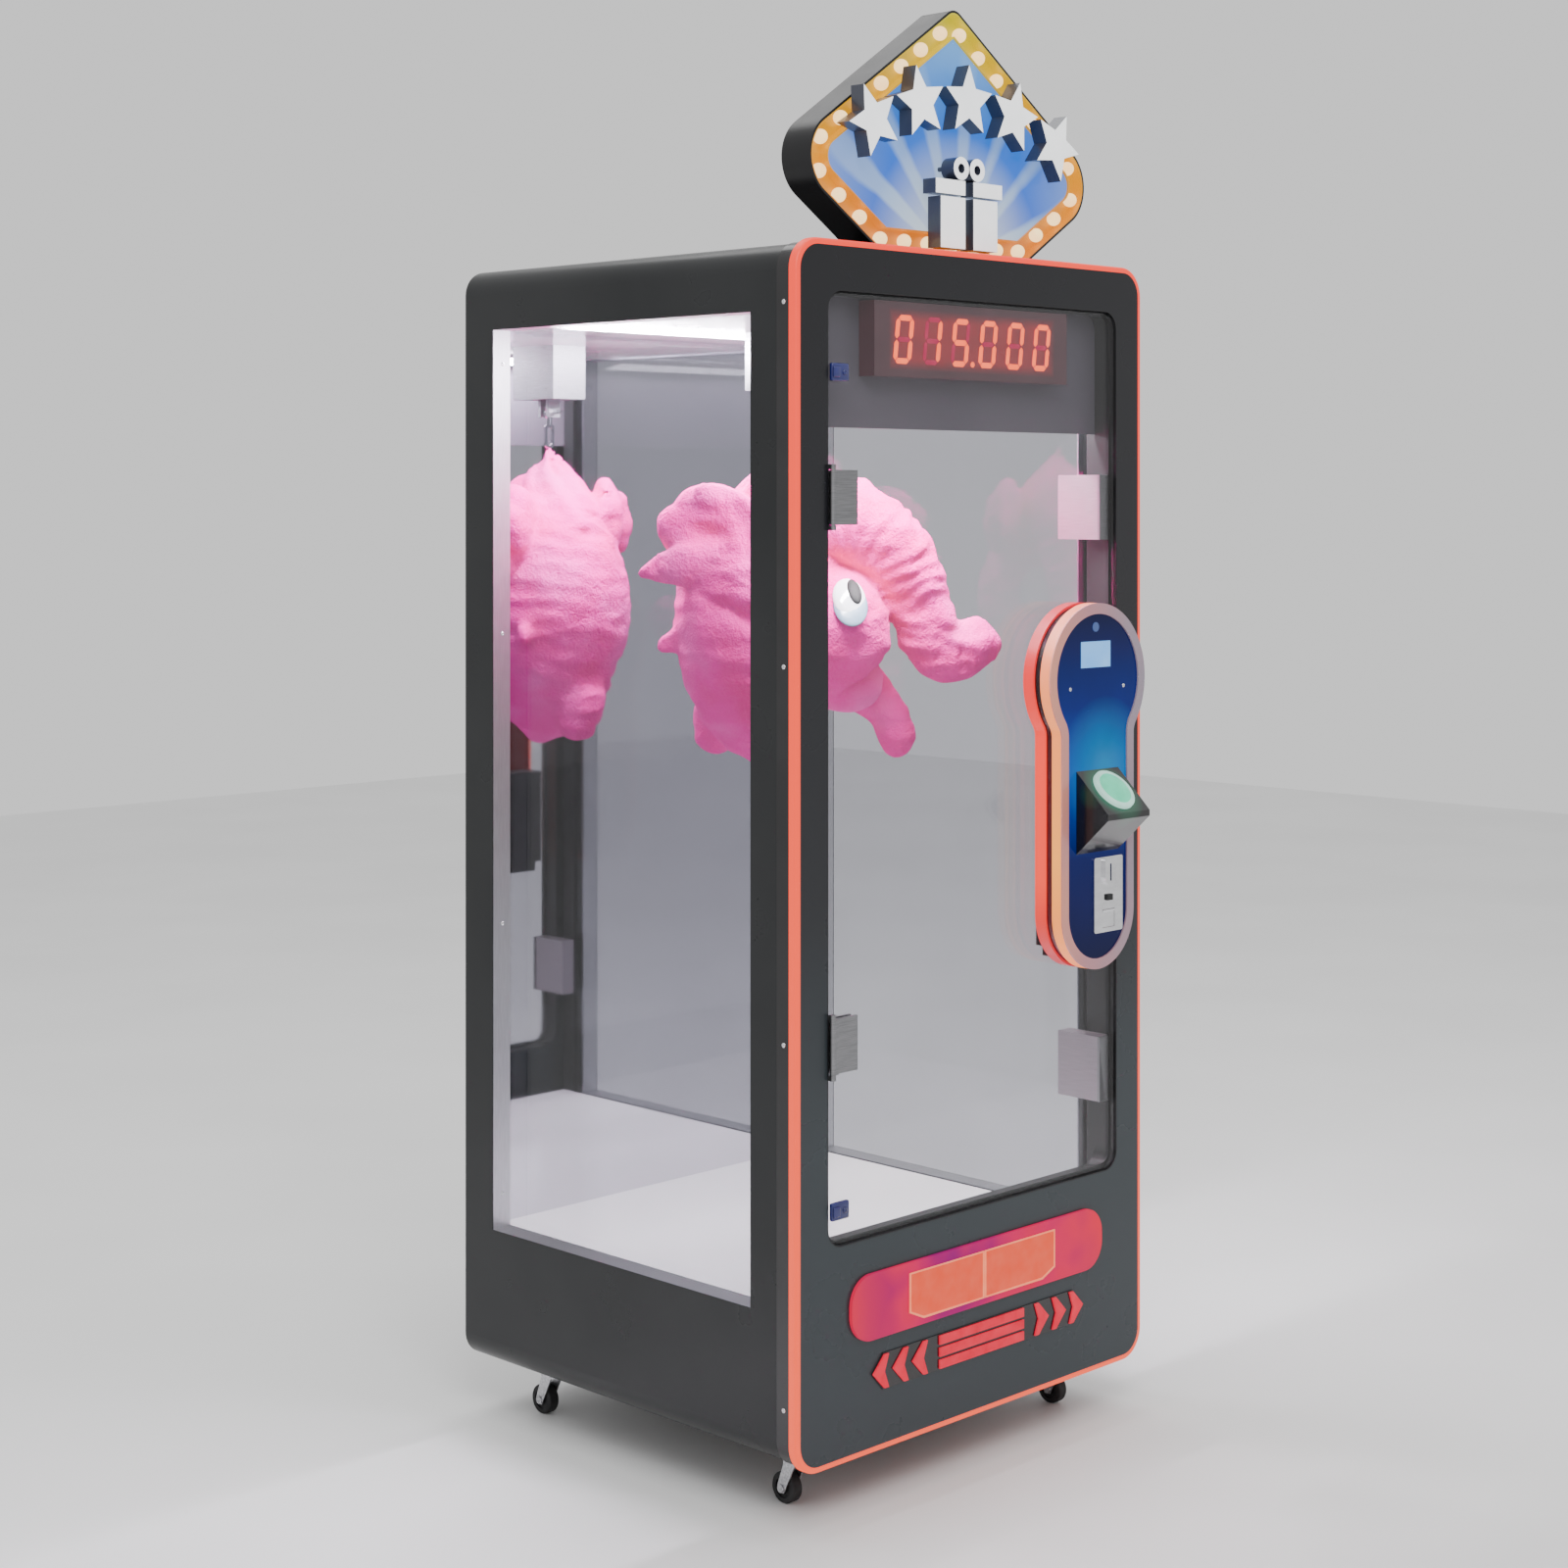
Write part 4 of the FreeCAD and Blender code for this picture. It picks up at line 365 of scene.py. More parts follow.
def housing_black():
    """Button housing: black moulding with the button's green light spilled round the ring."""
    made = Finish("housing_black", roughness=0.22, coat=0.2)
    made.colour((0.005, 0.005, 0.006), (0.010, 0.010, 0.011), 14.0)
    low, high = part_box("button_ring")
    parts = []
    for axis, a, b in zip("XYZ", low, high):
        away = made.math("SUBTRACT", made.axis(axis), (a + b) / 2)
        parts.append(made.math("MULTIPLY", away, away))
    reach = made.math("SQRT", made.math("ADD", made.math("ADD", parts[0], parts[1]), parts[2]))
    spill = made.spread(reach, 0.036, 0.062, 1.0, 0.0)
    return made.glow(made.blend(spill, (0.0, 0.0, 0.0), (0.0, 0.16, 0.07)), 0.8).material


def screen_light():
    """Pale blue screen, with the dim round sensor above it, which gets a faint painted blue glow."""
    made = Finish("screen_light", roughness=0.25, specular=0.2)
    low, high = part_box("console_screen")
    height = made.spread(made.axis("Z"), low[2] + 0.042, low[2] + 0.050)
    glass = made.ramp(made.grain(18.0, 1.0), (0.3, (0.16, 0.45, 0.95)), (0.7, (0.26, 0.56, 1.0)))
    # Above the screen's top the tone turns to the sensor's dim blue, which the emission below lights as a
    # painted glow.
    tone = made.blend(height, glass, (0.06, 0.10, 0.26))
    made.link(made.blend(0.8, tone, (0.0, 0.0, 0.0)), "Base Color")
    return made.glow(tone, 1.25).material


def toy_fur():
    """Short pink pile: fine fibre bump, pink patches with lighter flecks, a soft sheen, and a faint painted
    glow over the whole skin.
    """
    made = Finish("toy_fur", roughness=0.9, sheen=0.12, specular=0.05)
    made.set(Sheen_Roughness=0.4, Sheen_Tint=(1.0, 0.3, 0.7, 1.0))
    patch = made.grain(7.0, 4.0)
    pile = made.grain(260.0, 4.0)
    tone = made.ramp(patch, (0.3, (0.80, 0.0, 0.24)), (0.5, (0.88, 0.01, 0.34)), (0.72, (0.93, 0.09, 0.46)))
    fleck = made.spread(pile, 0.35, 0.7, 0.0, 0.16)
    tone = made.blend(fleck, tone, (1.0, 0.18, 0.55))
    made.link(tone, "Base Color")
    # Painted glow: the toy is no lamp, and this emission lifts its pink as if it were more brightly lit.
    made.glow(tone, 0.12)
    rub = made.math("ADD", made.math("MULTIPLY", pile, 0.5), made.grain(85.0, 6.0, distortion=0.6))
    return made.bump(rub, 0.75, 0.006).material


def glowing(name, colour, strength, roughness=0.3):
    """Lit lens or lamp, a little uneven like a real diffuser."""
    made = Finish(name, roughness=roughness, specular=0.15)
    light = tuple(min(1.0, c * 1.15 + 0.02) for c in colour)
    tone = made.ramp(made.grain(40.0, 2.0), (0.3, colour), (0.7, light))
    made.link(made.blend(0.7, tone, (0.0, 0.0, 0.0)), "Base Color")
    made.bump(made.grain(500.0, 2.0), 0.04, 0.0003)
    return made.glow(tone, strength).material


def lamp_magenta():
    """Smoky lens over the lower lamp: hot pink with violet patches, redder at its two ends."""
    made = Finish("lamp_magenta", roughness=0.2, coat=0.05, specular=0.12)
    low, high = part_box("lamp_lens")
    side = made.spread(made.math("ABSOLUTE", made.axis("X")), 0.15, (high[0] - low[0]) / 2)
    patch = made.ramp(made.grain(7.0, 2.0), (0.35, (0.30, 0.0, 0.16)), (0.55, (0.72, 0.0, 0.10)),
                      (0.75, (0.8, 0.0, 0.05)))
    tone = made.blend(made.math("MULTIPLY", side, 0.7), patch, (0.9, 0.015, 0.03))
    made.link(made.blend(0.75, tone, (0.0, 0.0, 0.0)), "Base Color")
    return made.glow(tone, 0.9).material


def lining_white():
    """Glossy white sheet of the chamber's floor and ceiling."""
    made = Finish("lining_white", coat=0.3)
    made.colour((0.88, 0.88, 0.89), (0.93, 0.93, 0.94), 2.0)
    made.rough(0.08, 0.16, 5.0)
    return made.material


def tinted_mirror():
    """Grey tinted mirror at the back of the chamber."""
    made = Finish("tinted_mirror", metallic=1.0)
    made.colour((0.62, 0.61, 0.66), (0.68, 0.67, 0.71), 1.5)
    made.rough(0.015, 0.05, 4.0)
    return made.material


def rubber():
    """Matt black rubber of the wheels."""
    made = Finish("rubber", specular=0.3)
    made.colour((0.012, 0.012, 0.013), (0.03, 0.03, 0.031), 40.0)
    made.rough(0.55, 0.75, 60.0)
    made.bump(made.grain(600.0, 3.0), 0.15, 0.0004)
    return made.material


SHELL = paint("shell_paint", (0.010, 0.011, 0.012), (0.016, 0.017, 0.018), 0.26, 0.34)
FRONT = front_paint()
BLACK = paint("black_satin", (0.008, 0.008, 0.009), (0.014, 0.014, 0.015), 0.3, 0.42)
GLOSS_BLACK = plastic("gloss_black", (0.005, 0.004, 0.005), (0.009, 0.008, 0.009), 0.16, 0.24, 0.1)
CASING_BLACK = paint("casing_black", (0.006, 0.006, 0.007), (0.010, 0.010, 0.011), 0.3, 0.42)
GREY = paint("header_grey", (0.085, 0.075, 0.095), (0.10, 0.09, 0.11), 0.4, 0.5, 0.0)
STEEL = brushed("brushed_steel", (0.42, 0.42, 0.44), (0.55, 0.55, 0.57), 0.25, 0.4)
DARK_STEEL = brushed("dark_steel", (0.2, 0.2, 0.21), (0.28, 0.28, 0.29), 0.3, 0.42)
LOCK_STEEL = brushed("lock_steel", (0.30, 0.26, 0.29), (0.38, 0.33, 0.36), 0.35, 0.5)
ALUMINIUM = brushed("frame_aluminium", (0.5, 0.5, 0.52), (0.6, 0.6, 0.62), 0.3, 0.42, (40.0, 40.0, 1.0))
CHROME = brushed("chrome", (0.72, 0.72, 0.74), (0.82, 0.82, 0.84), 0.06, 0.14, (1.0, 1.0, 3.0))
ZINC = brushed("zinc", (0.4, 0.4, 0.42), (0.6, 0.6, 0.62), 0.25, 0.45, (8.0, 8.0, 8.0))
DOOR_GLASS = clear("door_glass", (0.90, 0.90, 0.91))
SIDE_GLASS = clear("side_glass", (0.82, 0.82, 0.85))
RUBBER = rubber()
WHITE = lining_white()

DRESS = {
    SHELL: ("base_cover", "top_cover", "left_side_panel", "right_side_panel", "rear_panel", "rear_hatch"),
    FRONT: ("front_panel",),
    BLACK: ("chassis_tubes", "opening_liner", "coin_reject_button", "coin_box", "power_inlet"),
    GLOSS_BLACK: ("edge_band", "arrow_backplate"),
    console_sides(): ("console_shell",),
    housing_black(): ("button_housing",),
    CASING_BLACK: ("sign_casing",),
    GREY: ("header_panel",),
    STEEL: ("release_housing", "base_electronics"),
    LOCK_STEEL: ("lock_boxes",),
    DARK_STEEL: ("door_fittings", "hinge_wall_leaves"),
    ALUMINIUM: ("side_window_frames",),
    CHROME: ("release_pin", "prize_hook", "coin_plate", "coin_return_flap", "hatch_lock"),
    ZINC: ("caster_plates",),
    DOOR_GLASS: ("door_glass",),
    SIDE_GLASS: ("side_windows",),
    WHITE: ("floor_panel", "ceiling_panel"),
    tinted_mirror(): ("back_mirror",),
    lit_strip("strip_light", (1.0, 0.085, 0.02), (1.0, 0.04, 0.012), 1.35): ("led_strip",),
    display_red(): ("display_housing",),
    glowing("digit_light", (1.0, 0.10, 0.02), 2.6): ("display_segments",),
    lamp_magenta(): ("lamp_lens",),
    glowing("lamp_orange", (0.95, 0.085, 0.03), 0.9, 0.2): ("lamp_inner_lenses",),
    glowing("arrow_coral", (0.85, 0.006, 0.04), 0.8, 0.25): ("arrow_lenses",),
    sign_gold(): ("sign_border",),
    sign_rays(): ("sign_field",),
    glowing("bulb_light", (1.0, 0.62, 0.28), 2.4): ("sign_bulbs",),
    emblem_white(): ("sign_emblem",),
    console_strip(): ("console_led_rings",),
    console_rim(): ("console_bezel",),
    console_blue(): ("console_face",),
    screen_light(): ("console_screen",),
    glowing("ring_white", (0.5, 0.85, 0.72), 0.9): ("button_ring",),
    glowing("button_mint", (0.1, 0.7, 0.42), 1.0): ("push_button",),
}


def dress(name, material):
    for slot in nodes[name].material_slots:
        slot.material = material


for finish, names in DRESS.items():
    for node_name in names:
        dress(node_name, finish)
for end in ("front", "rear"):
    for side in ("left", "right"):
        dress(f"caster_fork_{end}_{side}", ZINC)
        dress(f"caster_wheel_{end}_{side}", RUBBER)


# ---- helpers for added pieces -------------------------------------------------------------------
def add(name, mesh, material, body):
    piece = bpy.data.objects.new(name, mesh)
    bpy.context.scene.collection.objects.link(piece)
    mesh.materials.append(material)
    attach(piece, body)
    return piece


def mesh_from(name, build, smooth=True):
    """New mesh filled by build(bm)."""
    work = bmesh.new()
    build(work)
    bmesh.ops.recalc_face_normals(work, faces=work.faces)
    mesh = bpy.data.meshes.new(name)
    work.to_mesh(mesh)
    work.free()
    for face in mesh.polygons:
        face.use_smooth = smooth
    return mesh


def middle(node):
    """Centre of a node's box."""
    low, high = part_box(node)
    return [(a + b) / 2 for a, b in zip(low, high)]


# ---- soft toy -----------------------------------------------------------------------------------
HOOK_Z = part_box("prize_hook")[0][2]
TOY_Y = middle("prize_hook")[1]
TOY_YAW = math.radians(45.0)
ACROSS = Vector((math.cos(TOY_YAW), -math.sin(TOY_YAW), 0.0))
FORWARD = Vector((-math.sin(TOY_YAW), -math.cos(TOY_YAW), 0.0))


def toy_point(across, forward, drop):
    """Place on the toy, in metres: to its right, to its front and below the hook."""
    return Vector((0.0, TOY_Y, HOOK_Z - drop)) + ACROSS * across + FORWARD * forward


# Stuffed limbs: each knot is (right, front, below the hook, radius), joined by smooth spans.
TOY_LIMBS = (
    ((0.0, 0.0, 0.012, 0.006), (0.0, 0.0, 0.045, 0.022), (0.0, 0.0, 0.09, 0.052),
     (-0.012, 0.0, 0.15, 0.092), (-0.03, 0.0, 0.22, 0.125), (-0.036, 0.0, 0.30, 0.150),
     (-0.04, 0.0, 0.38, 0.132), (-0.045, 0.0, 0.45, 0.092), (-0.04, 0.01, 0.51, 0.044)),
    ((0.02, 0.02, 0.15, 0.082), (0.075, 0.02, 0.135, 0.080), (0.13, 0.018, 0.155, 0.073),
     (0.175, 0.014, 0.19, 0.067), (0.21, 0.011, 0.24, 0.059), (0.228, 0.009, 0.292, 0.054),
     (0.244, 0.006, 0.338, 0.054), (0.278, 0.003, 0.360, 0.049), (0.312, 0.0, 0.352, 0.046),
     (0.326, 0.0, 0.332, 0.036)),
    ((0.06, -0.03, 0.36, 0.07), (0.098, -0.045, 0.40, 0.048), (0.14, -0.05, 0.435, 0.042),
     (0.168, -0.054, 0.468, 0.037), (0.186, -0.057, 0.505, 0.034), (0.19, -0.06, 0.518, 0.032)),
    ((-0.05, -0.04, 0.42, 0.07), (-0.10, -0.06, 0.465, 0.052), (-0.118, -0.06, 0.505, 0.038)),
)
# Flat or rounded lumps: centre as above, half sizes in the same directions, and tilt in degrees.
TOY_LUMPS = (
    ((0.075, 0.06, 0.325), (0.105, 0.095, 0.105), 0), ((0.085, 0.03, 0.40), (0.08, 0.07, 0.055), 25),
    ((-0.09, 0.05, 0.135), (0.10, 0.036, 0.055), 12), ((-0.155, 0.05, 0.165), (0.068, 0.028, 0.052), 34),
    ((-0.085, 0.075, 0.115), (0.075, 0.022, 0.030), 18),
    ((-0.13, 0.08, 0.215), (0.085, 0.020, 0.046), -4), ((-0.19, 0.07, 0.222), (0.052, 0.014, 0.030), -12),
    ((-0.225, 0.062, 0.23), (0.028, 0.010, 0.016), -18),
    ((-0.16, 0.03, 0.335), (0.058, 0.016, 0.022), -24), ((-0.12, 0.06, 0.29), (0.05, 0.03, 0.05), -10),
    ((0.03, -0.10, 0.14), (0.08, 0.030, 0.075), -20), ((0.08, -0.125, 0.15), (0.06, 0.020, 0.065), -35),
    ((0.332, 0.0, 0.318), (0.026, 0.024, 0.020), 30), ((0.352, 0.0, 0.345), (0.020, 0.026, 0.026), -20),
)


def spans(knots):
    """Points along a smooth line through the knots (Catmull-Rom), radii included."""
    knots = [Vector(knot) for knot in knots]
    row = [knots[0] * 2 - knots[1]] + knots + [knots[-1] * 2 - knots[-2]]
    for a, b, c, d in zip(row, row[1:], row[2:], row[3:]):
        for step in range(SPAN_STEPS):
            t = step / SPAN_STEPS
            yield 0.5 * (2 * b + (c - a) * t + (2 * a - 5 * b + 4 * c - d) * t * t
                         + (3 * b - 3 * c + d - a) * t * t * t)
    yield knots[-1]


def toy_lumps(work):
    turn = Matrix((ACROSS, FORWARD, (0.0, 0.0, 1.0))).transposed().to_4x4()
    for limb in TOY_LIMBS:
        for right, front, drop, radius in spans(limb):
            place = Matrix.Translation(toy_point(right, front, drop))
            bmesh.ops.create_icosphere(work, subdivisions=3, radius=max(radius, 0.006), matrix=place)
    for centre, half, tilt in TOY_LUMPS:
        place = Matrix.Translation(toy_point(*centre))
        lean = Matrix.Rotation(math.radians(tilt), 4, "Y")
        size = Matrix.Diagonal((*half, 1.0))
        bmesh.ops.create_icosphere(work, subdivisions=3, radius=1.0, matrix=place @ turn @ lean @ size)


def apply_modifiers(piece):
    """Replaces the piece's mesh by what its modifiers make of it."""
    shape = piece.evaluated_get(bpy.context.evaluated_depsgraph_get())
    result = bpy.data.meshes.new_from_object(shape)
    piece.modifiers.clear()
    piece.data = result
    return piece


def sewn_cloth(piece, cap):
    """Lets the skin swell a little as cloth under pressure, and keeps each point within the cap."""
    start = [vertex.co.copy() for vertex in piece.data.vertices]
    cloth = piece.modifiers.new("cloth", "CLOTH")
    cloth.settings.use_pressure = True
    cloth.settings.uniform_pressure_force = 4.0
    cloth.settings.effector_weights.gravity = 0.0
    cloth.settings.shrink_min = -0.10
    scene = bpy.context.scene
    for step in range(1, 21):
        scene.frame_set(step)
    apply_modifiers(piece)
    scene.frame_set(1)
    for vertex, home in zip(piece.data.vertices, start):
        shift = vertex.co - home
        if shift.length > cap:
            vertex.co = home + shift.normalized() * cap
    return piece


def soft_toy():
    fur = toy_fur()
    piece = bpy.data.objects.new("toy_skin", mesh_from("toy_skin", toy_lumps))
    bpy.context.scene.collection.objects.link(piece)
    remesh = piece.modifiers.new("voxels", "REMESH")
    remesh.mode = "VOXEL"
    remesh.voxel_size = TOY_VOXEL
    smooth = piece.modifiers.new("smooth", "SMOOTH")
    smooth.factor = 0.6
    smooth.iterations = 4
    apply_modifiers(piece)
    sewn_cloth(piece, SWELL_CAP)
    crease = bpy.data.objects.new("toy_fur_skin", piece.data)
    wrinkle(crease.data)
    bpy.data.objects.remove(piece)
    bpy.context.scene.collection.objects.link(crease)
    crease.data.materials.clear()
    crease.data.materials.append(fur)
    for face in crease.data.polygons:
        face.use_smooth = True
    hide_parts("prize_plush")
    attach(crease, "prize")
    return crease


def wrinkle(mesh):
    """Folds that fan out from the hook, and small puckers over the rest of the skin."""
    mesh.update()
    elbow = toy_point(0.09, 0.0, 0.30)
    for vertex in mesh.vertices:
        place = vertex.co.copy()
        drop = HOOK_Z - place.z
        angle = math.atan2(place.y - TOY_Y, place.x)
        gather = max(0.0, 1.0 - drop / 0.26)
        folds = math.sin(angle * 7.0 + 9.0 * noise.noise(place * 6.0)) * 0.006 * gather
        pucker = noise.noise(Vector((place.x * 22, place.y * 22, place.z * 50))) * 0.003
        apart = Vector((place.x * 9, place.y * 9, place.z * 24)) + Vector((5, 3, 8))
        crease = -abs(noise.noise(apart)) * 0.007
        right, bend = (place - elbow).dot(ACROSS), place.z - elbow.z
        reach = min(max((math.hypot(right, bend) - 0.09) / 0.04, 0.0), 1.0) * (right > 0.0 and drop < 0.38)
        rings = math.sin(math.atan2(bend, right) * 34.0 + 7.0 * noise.noise(place * 14.0)) * 0.0022 * reach
        vertex.co = place + vertex.normal * (folds + pucker + crease + rings + 0.001)
    mesh.update()


TOY = soft_toy()


def toy_surface(across, drop, side=1.0):
    """Place and normal on the toy's skin, seen from its front (side 1) or back (side -1)."""
    start = toy_point(across, 0.4 * side, drop)
    return TOY.ray_cast(start, FORWARD * -side)[1:3]


def eye_disc(name, across, drop, half_w, half_h, thick, material, side=1.0, lift=0.0):
    place, normal = toy_surface(across, drop, side)
    turn = normal.to_track_quat("Z", "Y").to_matrix().to_4x4()
    size = Matrix.Diagonal((half_w, half_h, thick, 1.0))
    spot = Matrix.Translation(place + normal * lift)

    def build(work):
        bmesh.ops.create_uvsphere(work, u_segments=40, v_segments=20, radius=1.0, matrix=spot @ turn @ size)
    return add(name, mesh_from(name, build), material, "prize")


EYE_WHITE = plastic("eye_white", (0.75, 0.78, 0.82), (0.85, 0.87, 0.9), 0.12, 0.2, 0.4)
EYE_RIM = plastic("eye_rim", (0.16, 0.24, 0.34), (0.22, 0.32, 0.42), 0.2, 0.3, 0.3)
EYE_BLACK = plastic("eye_black", (0.003, 0.003, 0.004), (0.006, 0.006, 0.007), 0.6, 0.75)
for label, side in (("near", 1.0), ("far", -1.0)):
    eye_disc(f"eye_rim_{label}", 0.110, 0.278, 0.030, 0.044, 0.007, EYE_RIM, side)
    eye_disc(f"eye_white_{label}", 0.108, 0.268, 0.029, 0.041, 0.009, EYE_WHITE, side, 0.001)
    eye_disc(f"eye_black_{label}", 0.115, 0.260, 0.012, 0.026, 0.005, EYE_BLACK, side, 0.008)


# ---- small pieces that stand on the CAD model ----------------------------------------------------
def tube_loop(name, points, radius, material, body):
    """Closed bead along the points given, in metres."""
    curve = bpy.data.curves.new(name, "CURVE")
    curve.dimensions = "3D"
    curve.bevel_depth = radius
    curve.bevel_resolution = 3
    line = curve.splines.new("POLY")
    line.points.add(len(points) - 1)
    line.use_cyclic_u = True
    for point, place in zip(line.points, points):
        point.co = (*place, 1.0)
    draft = bpy.data.objects.new(name + "_draft", curve)
    mesh = bpy.data.meshes.new_from_object(draft)
    bpy.data.objects.remove(draft)
    for face in mesh.polygons:
        face.use_smooth = True
    return add(name, mesh, material, body)


def soft_box(work, low, high, edge):
    """Box with rounded edges, appended to the mesh in work."""
    size = Vector(high) - Vector(low)
    place = Matrix.Translation((Vector(high) + Vector(low)) / 2) @ Matrix.Diagonal((*size, 1.0))
    made = bmesh.ops.create_cube(work, size=1.0, matrix=place)["verts"]
    edges = {e for v in made for e in v.link_edges}
    bmesh.ops.bevel(work, geom=list(edges), offset=edge, segments=3, profile=0.5, affect="EDGES")


def lamp_outlines():
    peach = glowing("lamp_outline", (1.0, 0.22, 0.10), 1.3)
    low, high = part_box("lamp_inner_lenses")
    y = low[1] - 0.0002
    cut_x, cut_z = 0.032, 0.014
    half_gap = 0.0025
    for name, side in (("left", -1), ("right", 1)):
        outer = high[0]
        corners = [(half_gap, low[2]), (outer - cut_x, low[2]), (outer, low[2] + cut_z), (outer, high[2]),
                   (half_gap, high[2])]
        tube_loop(f"lamp_outline_{name}", [(side * x, y, z) for x, z in corners], 0.0018, peach, "cabinet")


def unlit_bars():
    """Dark bars of the whole figure eight behind each lit digit, with a dim painted red glow."""
    # Unlit bars are no lamp: their dim red glow is painted light.
    dim = glowing("digit_unlit_painted_glow", (0.46, 0.0, 0.06), 1.1)
    low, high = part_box("display_segments")
    digit_h = high[2] - low[2]
    slant = math.tan(math.radians(7.0))
    width, bar, gap, count = 0.042, 0.009, 0.0012, 6
    pitch = (high[0] - low[0] - width - digit_h * slant) / (count - 1)
    first = low[0] + (width + digit_h * slant) / 2
    middle_z = (low[2] + high[2]) / 2
    half_w, half_h = width / 2, digit_h / 2
    rows = []
    for z in (-half_h + bar / 2, 0.0, half_h - bar / 2):
        rows.append(((-half_w + bar * 0.5 + gap, z), (half_w - bar * 0.5 - gap, z)))
    for x in (-half_w + bar / 2, half_w - bar / 2):
        for z0, z1 in ((-half_h + bar * 0.5 + gap, -gap), (gap, half_h - bar * 0.5 - gap)):
            rows.append(((x, z0), (x, z1)))

    def build(work):
        y = high[1] - 0.0004
        for place in range(count):
            for (x0, z0), (x1, z1) in rows:
                along = Vector((x1 - x0, 0.0, z1 - z0)).normalized()
                aside = Vector((-along.z, 0.0, along.x)) * (bar / 2 - gap / 2)
                tip = along * (bar / 2)
                a, b = Vector((x0, y, z0)), Vector((x1, y, z1))
                ring = [a, a + tip + aside, b - tip + aside, b, b - tip - aside, a + tip - aside]
                verts = []
                for corner in ring:
                    x = first + place * pitch + corner.x + corner.z * slant
                    verts.append(work.verts.new((x, corner.y, middle_z + corner.z)))
                face = work.faces.new(verts)
                side = bmesh.ops.extrude_face_region(work, geom=[face])["geom"]
                moved = [v for v in side if isinstance(v, bmesh.types.BMVert)]
                bmesh.ops.translate(work, verts=moved, vec=(0.0, 0.0003, 0.0))
    add("display_unlit_bars", mesh_from("display_unlit_bars", build, smooth=False), dim, "cabinet")


def screw(work, place, normal, radius):
    """Domed screw head with a cross recess, appended to the mesh in work."""
    turn = Vector(normal).to_track_quat("Z", "Y").to_matrix().to_4x4()
    spot = Matrix.Translation(place) @ turn
    rings = ((1.0, 0.0), (0.96, 0.18), (0.8, 0.32), (0.55, 0.42), (0.42, 0.44), (0.36, 0.2), (0.05, 0.2))
    sides = 24
    rows = []
    for reach, rise in rings:
        row = []
        for k in range(sides):
            t = math.tau * k / sides
            corner = Vector((radius * reach * math.cos(t), radius * reach * math.sin(t), radius * rise))
            row.append(work.verts.new(spot @ corner))
        rows.append(row)
    for inner, outer in zip(rows[1:], rows):
        for k in range(sides):
            j = (k + 1) % sides
            work.faces.new((outer[k], outer[j], inner[j], inner[k]))
    work.faces.new(rows[-1])
    work.faces.new(list(reversed(rows[0])))


def fasteners():
    """Screws on the window frames, the trim band and the console face."""
    bright = brushed("screw_steel", (0.6, 0.6, 0.62), (0.75, 0.75, 0.77), 0.15, 0.3, (6.0, 6.0, 6.0))
    low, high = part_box("side_windows")
    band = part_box("edge_band")
    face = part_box("console_face")
    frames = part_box("side_window_frames")
    half_way = (low[2] + high[2]) / 2

    def cabinet(work):
        for side in (-1, 1):
            for z in (low[2] + 0.06, half_way - 0.25, half_way + 0.25, high[2] - 0.06):
                for y, way in ((frames[0][1] + 0.003, 1), (frames[1][1] - 0.003, -1)):
                    screw(work, Vector((side * (frames[1][0] - 0.02), y, z)), (0, way, 0), SCREW_R)
            for z in (BODY_Z0 + 0.10, BODY_Z0 + 0.66, BODY_Z0 + 1.24, BODY_Z1 - 0.10):
                place = Vector((side * band[1][0], (band[0][1] + band[1][1]) / 2, z))
                screw(work, place, (side, 0, 0), BAND_SCREW_R)

    def console(work):
        middle_x = (face[0][0] + face[1][0]) / 2
        for x, z in ((-0.072, -0.135), (0.072, -0.135)):
            screw(work, Vector((middle_x + x, face[0][1], face[1][2] + z)), (0, -1, 0), SCREW_R)
    add("cabinet_screws", mesh_from("cabinet_screws", cabinet), bright, "cabinet")
    add("console_screws", mesh_from("console_screws", console), bright, "door")


def glass_clips():
    """Moulded blue clips on the hinge edge of the glass, near its top and its foot."""
    blue = plastic("clip_blue", (0.008, 0.010, 0.09), (0.014, 0.02, 0.14), 0.15, 0.25, 0.3)
    low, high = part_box("door_glass")

    def build(work):
        for z in (high[2] - 0.123, low[2] + 0.053):
            soft_box(work, (low[0] + 0.001, low[1] - 0.008, z - 0.014),
                     (low[0] + 0.040, low[1] - 0.0002, z + 0.014), 0.003)
            soft_box(work, (low[0] + 0.001, low[1] - 0.012, z - 0.008),
                     (low[0] + 0.016, low[1] - 0.0075, z + 0.008), 0.002)
            screw(work, Vector((low[0] + 0.029, low[1] - 0.008, z)), (0, -1, 0), 0.005)
    add("glass_clips", mesh_from("glass_clips", build), blue, "door")


lamp_outlines()
unlit_bars()
fasteners()
glass_clips()


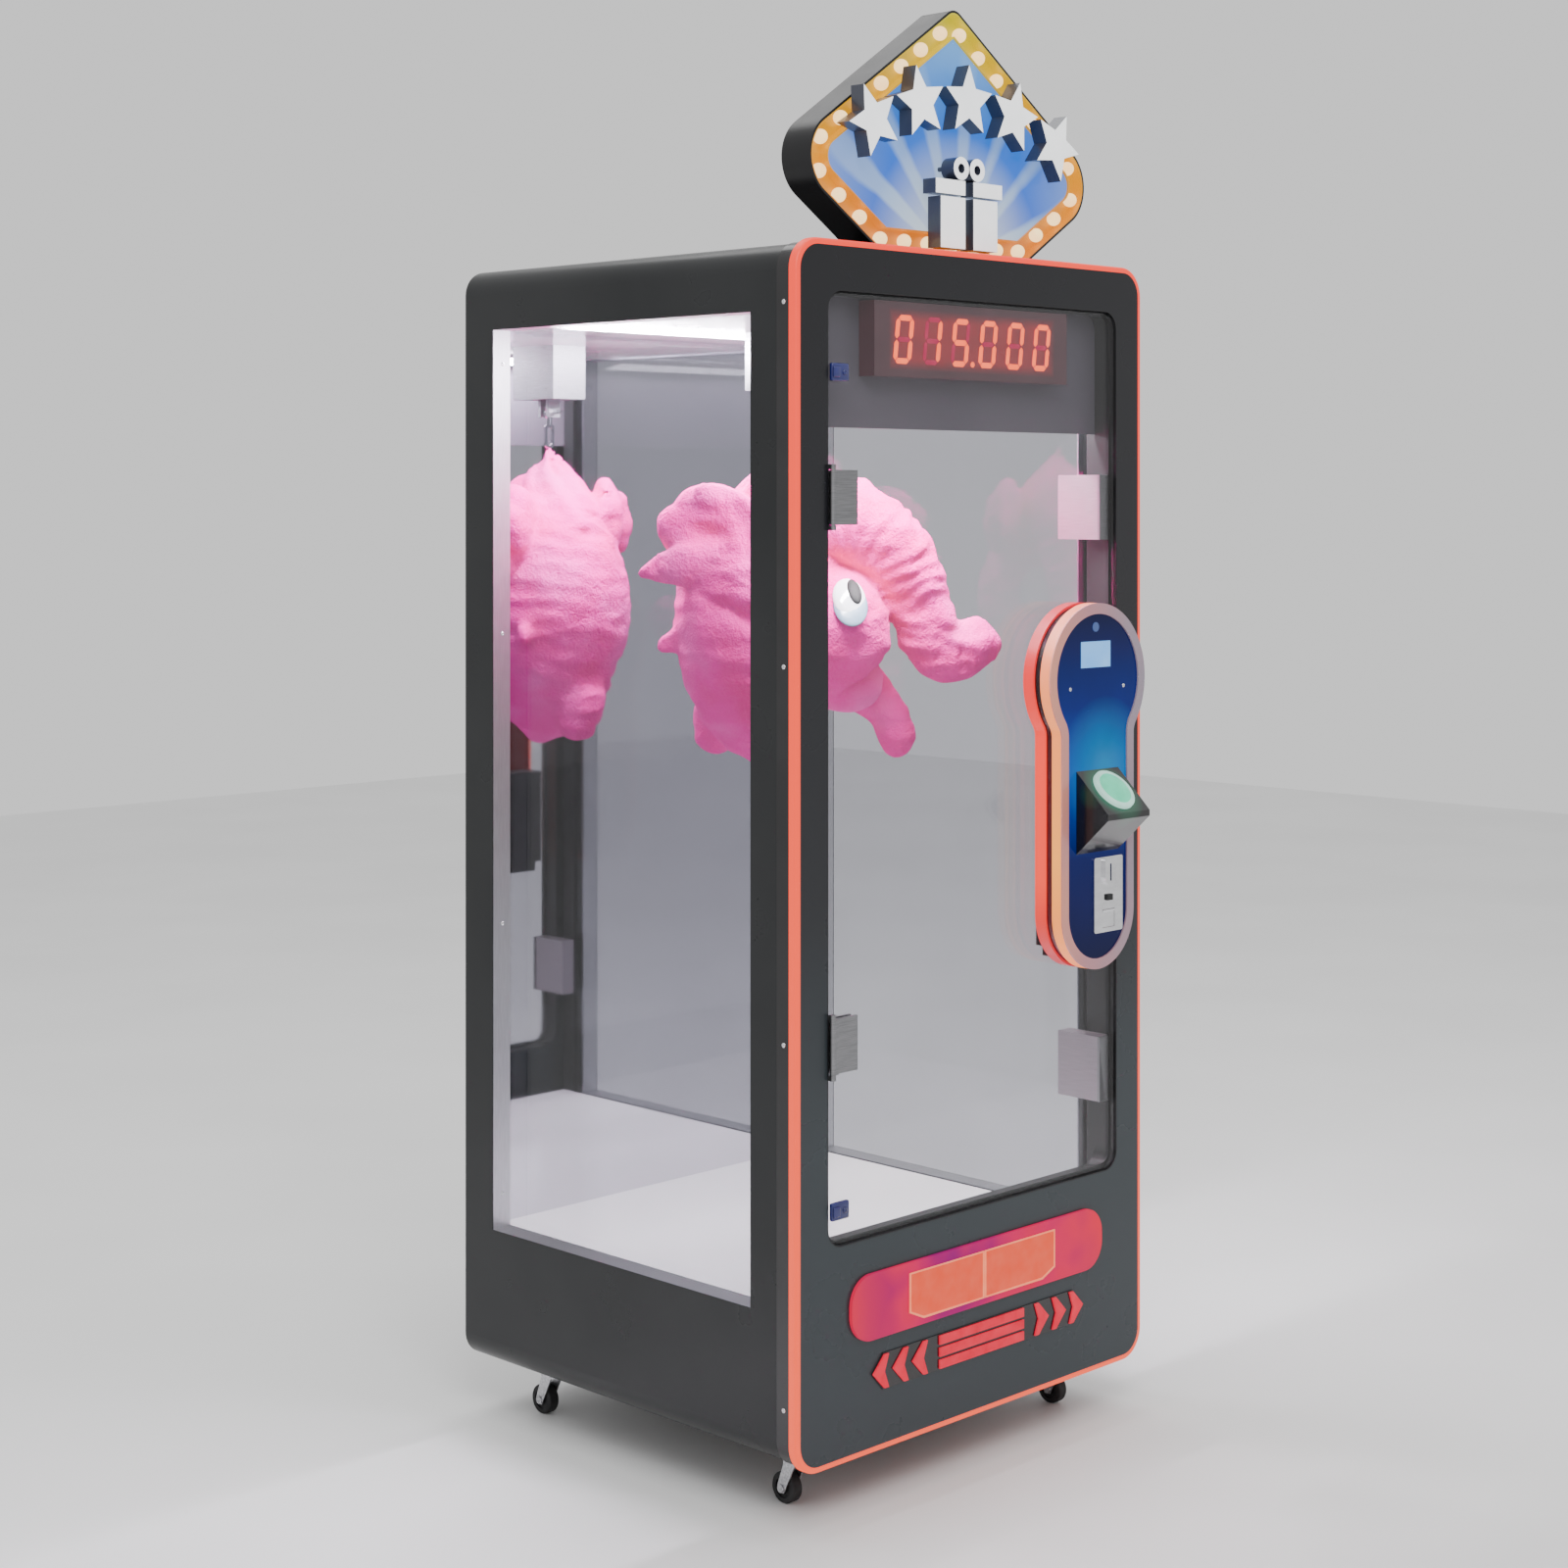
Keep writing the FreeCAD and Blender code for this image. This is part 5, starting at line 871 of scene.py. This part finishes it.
# ---- floor, light and camera --------------------------------------------------------------------
def floor():
    made = Finish("studio_floor", roughness=0.6)
    made.colour((0.80, 0.80, 0.80), (0.84, 0.84, 0.84), 1.2)
    mesh = bpy.data.meshes.new("studio_floor")
    mesh.from_pydata([(-9, -9, 0), (9, -9, 0), (9, 9, 0), (-9, 9, 0)], [], [(0, 1, 2, 3)])
    piece = bpy.data.objects.new("studio_floor", mesh)
    bpy.context.scene.collection.objects.link(piece)
    mesh.materials.append(made.material)


def lamp(name, place, target, size, power, colour=(1.0, 1.0, 1.0)):
    light = bpy.data.lights.new(name, "AREA")
    light.shape = "RECTANGLE"
    light.size, light.size_y = size
    light.energy = power
    light.color = colour
    piece = bpy.data.objects.new(name, light)
    piece.location = place
    aim = Vector(target) - Vector(place)
    piece.rotation_euler = aim.to_track_quat("-Z", "Y").to_euler()
    bpy.context.scene.collection.objects.link(piece)


def studio():
    """Even white surroundings, two soft lamps, and the light strips under the chamber's ceiling."""
    world = bpy.data.worlds.new("studio")
    bpy.context.scene.world = world
    world.use_nodes = True
    background = world.node_tree.nodes["Background"]
    background.inputs["Color"].default_value = (1.0, 1.0, 1.0, 1.0)
    background.inputs["Strength"].default_value = 0.9
    lamp("key", (-2.6, -3.2, 4.4), (0.0, 0.0, 1.0), (2.4, 2.4), 130.0)
    lamp("top", (0.6, 0.6, 5.0), (0.0, 0.0, 0.0), (4.0, 4.0), 120.0)
    low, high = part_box("ceiling_panel")
    for end, y in (("front", low[1] + 0.06), ("rear", high[1] - 0.06)):
        lamp(f"chamber_{end}", (0.0, y, low[2] - 0.01), (0.0, y * 0.3, 0.9), (0.6, 0.06), 34.0,
             (1.0, 0.96, 0.99))


def camera():
    """Level camera to the left of the front, with its frame shifted down as in a view camera."""
    data = bpy.data.cameras.new("photo_camera")
    data.lens = 61.5
    data.shift_y = -0.182
    piece = bpy.data.objects.new("photo_camera", data)
    piece.location = (LEFT_X - CAMERA_LEFT, FRONT_Y - CAMERA_FRONT, BODY_Z0 + CAMERA_HEIGHT)
    piece.rotation_euler = Vector((0.710, 0.704, 0.0)).to_track_quat("-Z", "Y").to_euler()
    bpy.context.scene.collection.objects.link(piece)
    bpy.context.scene.camera = piece


floor()
studio()
camera()
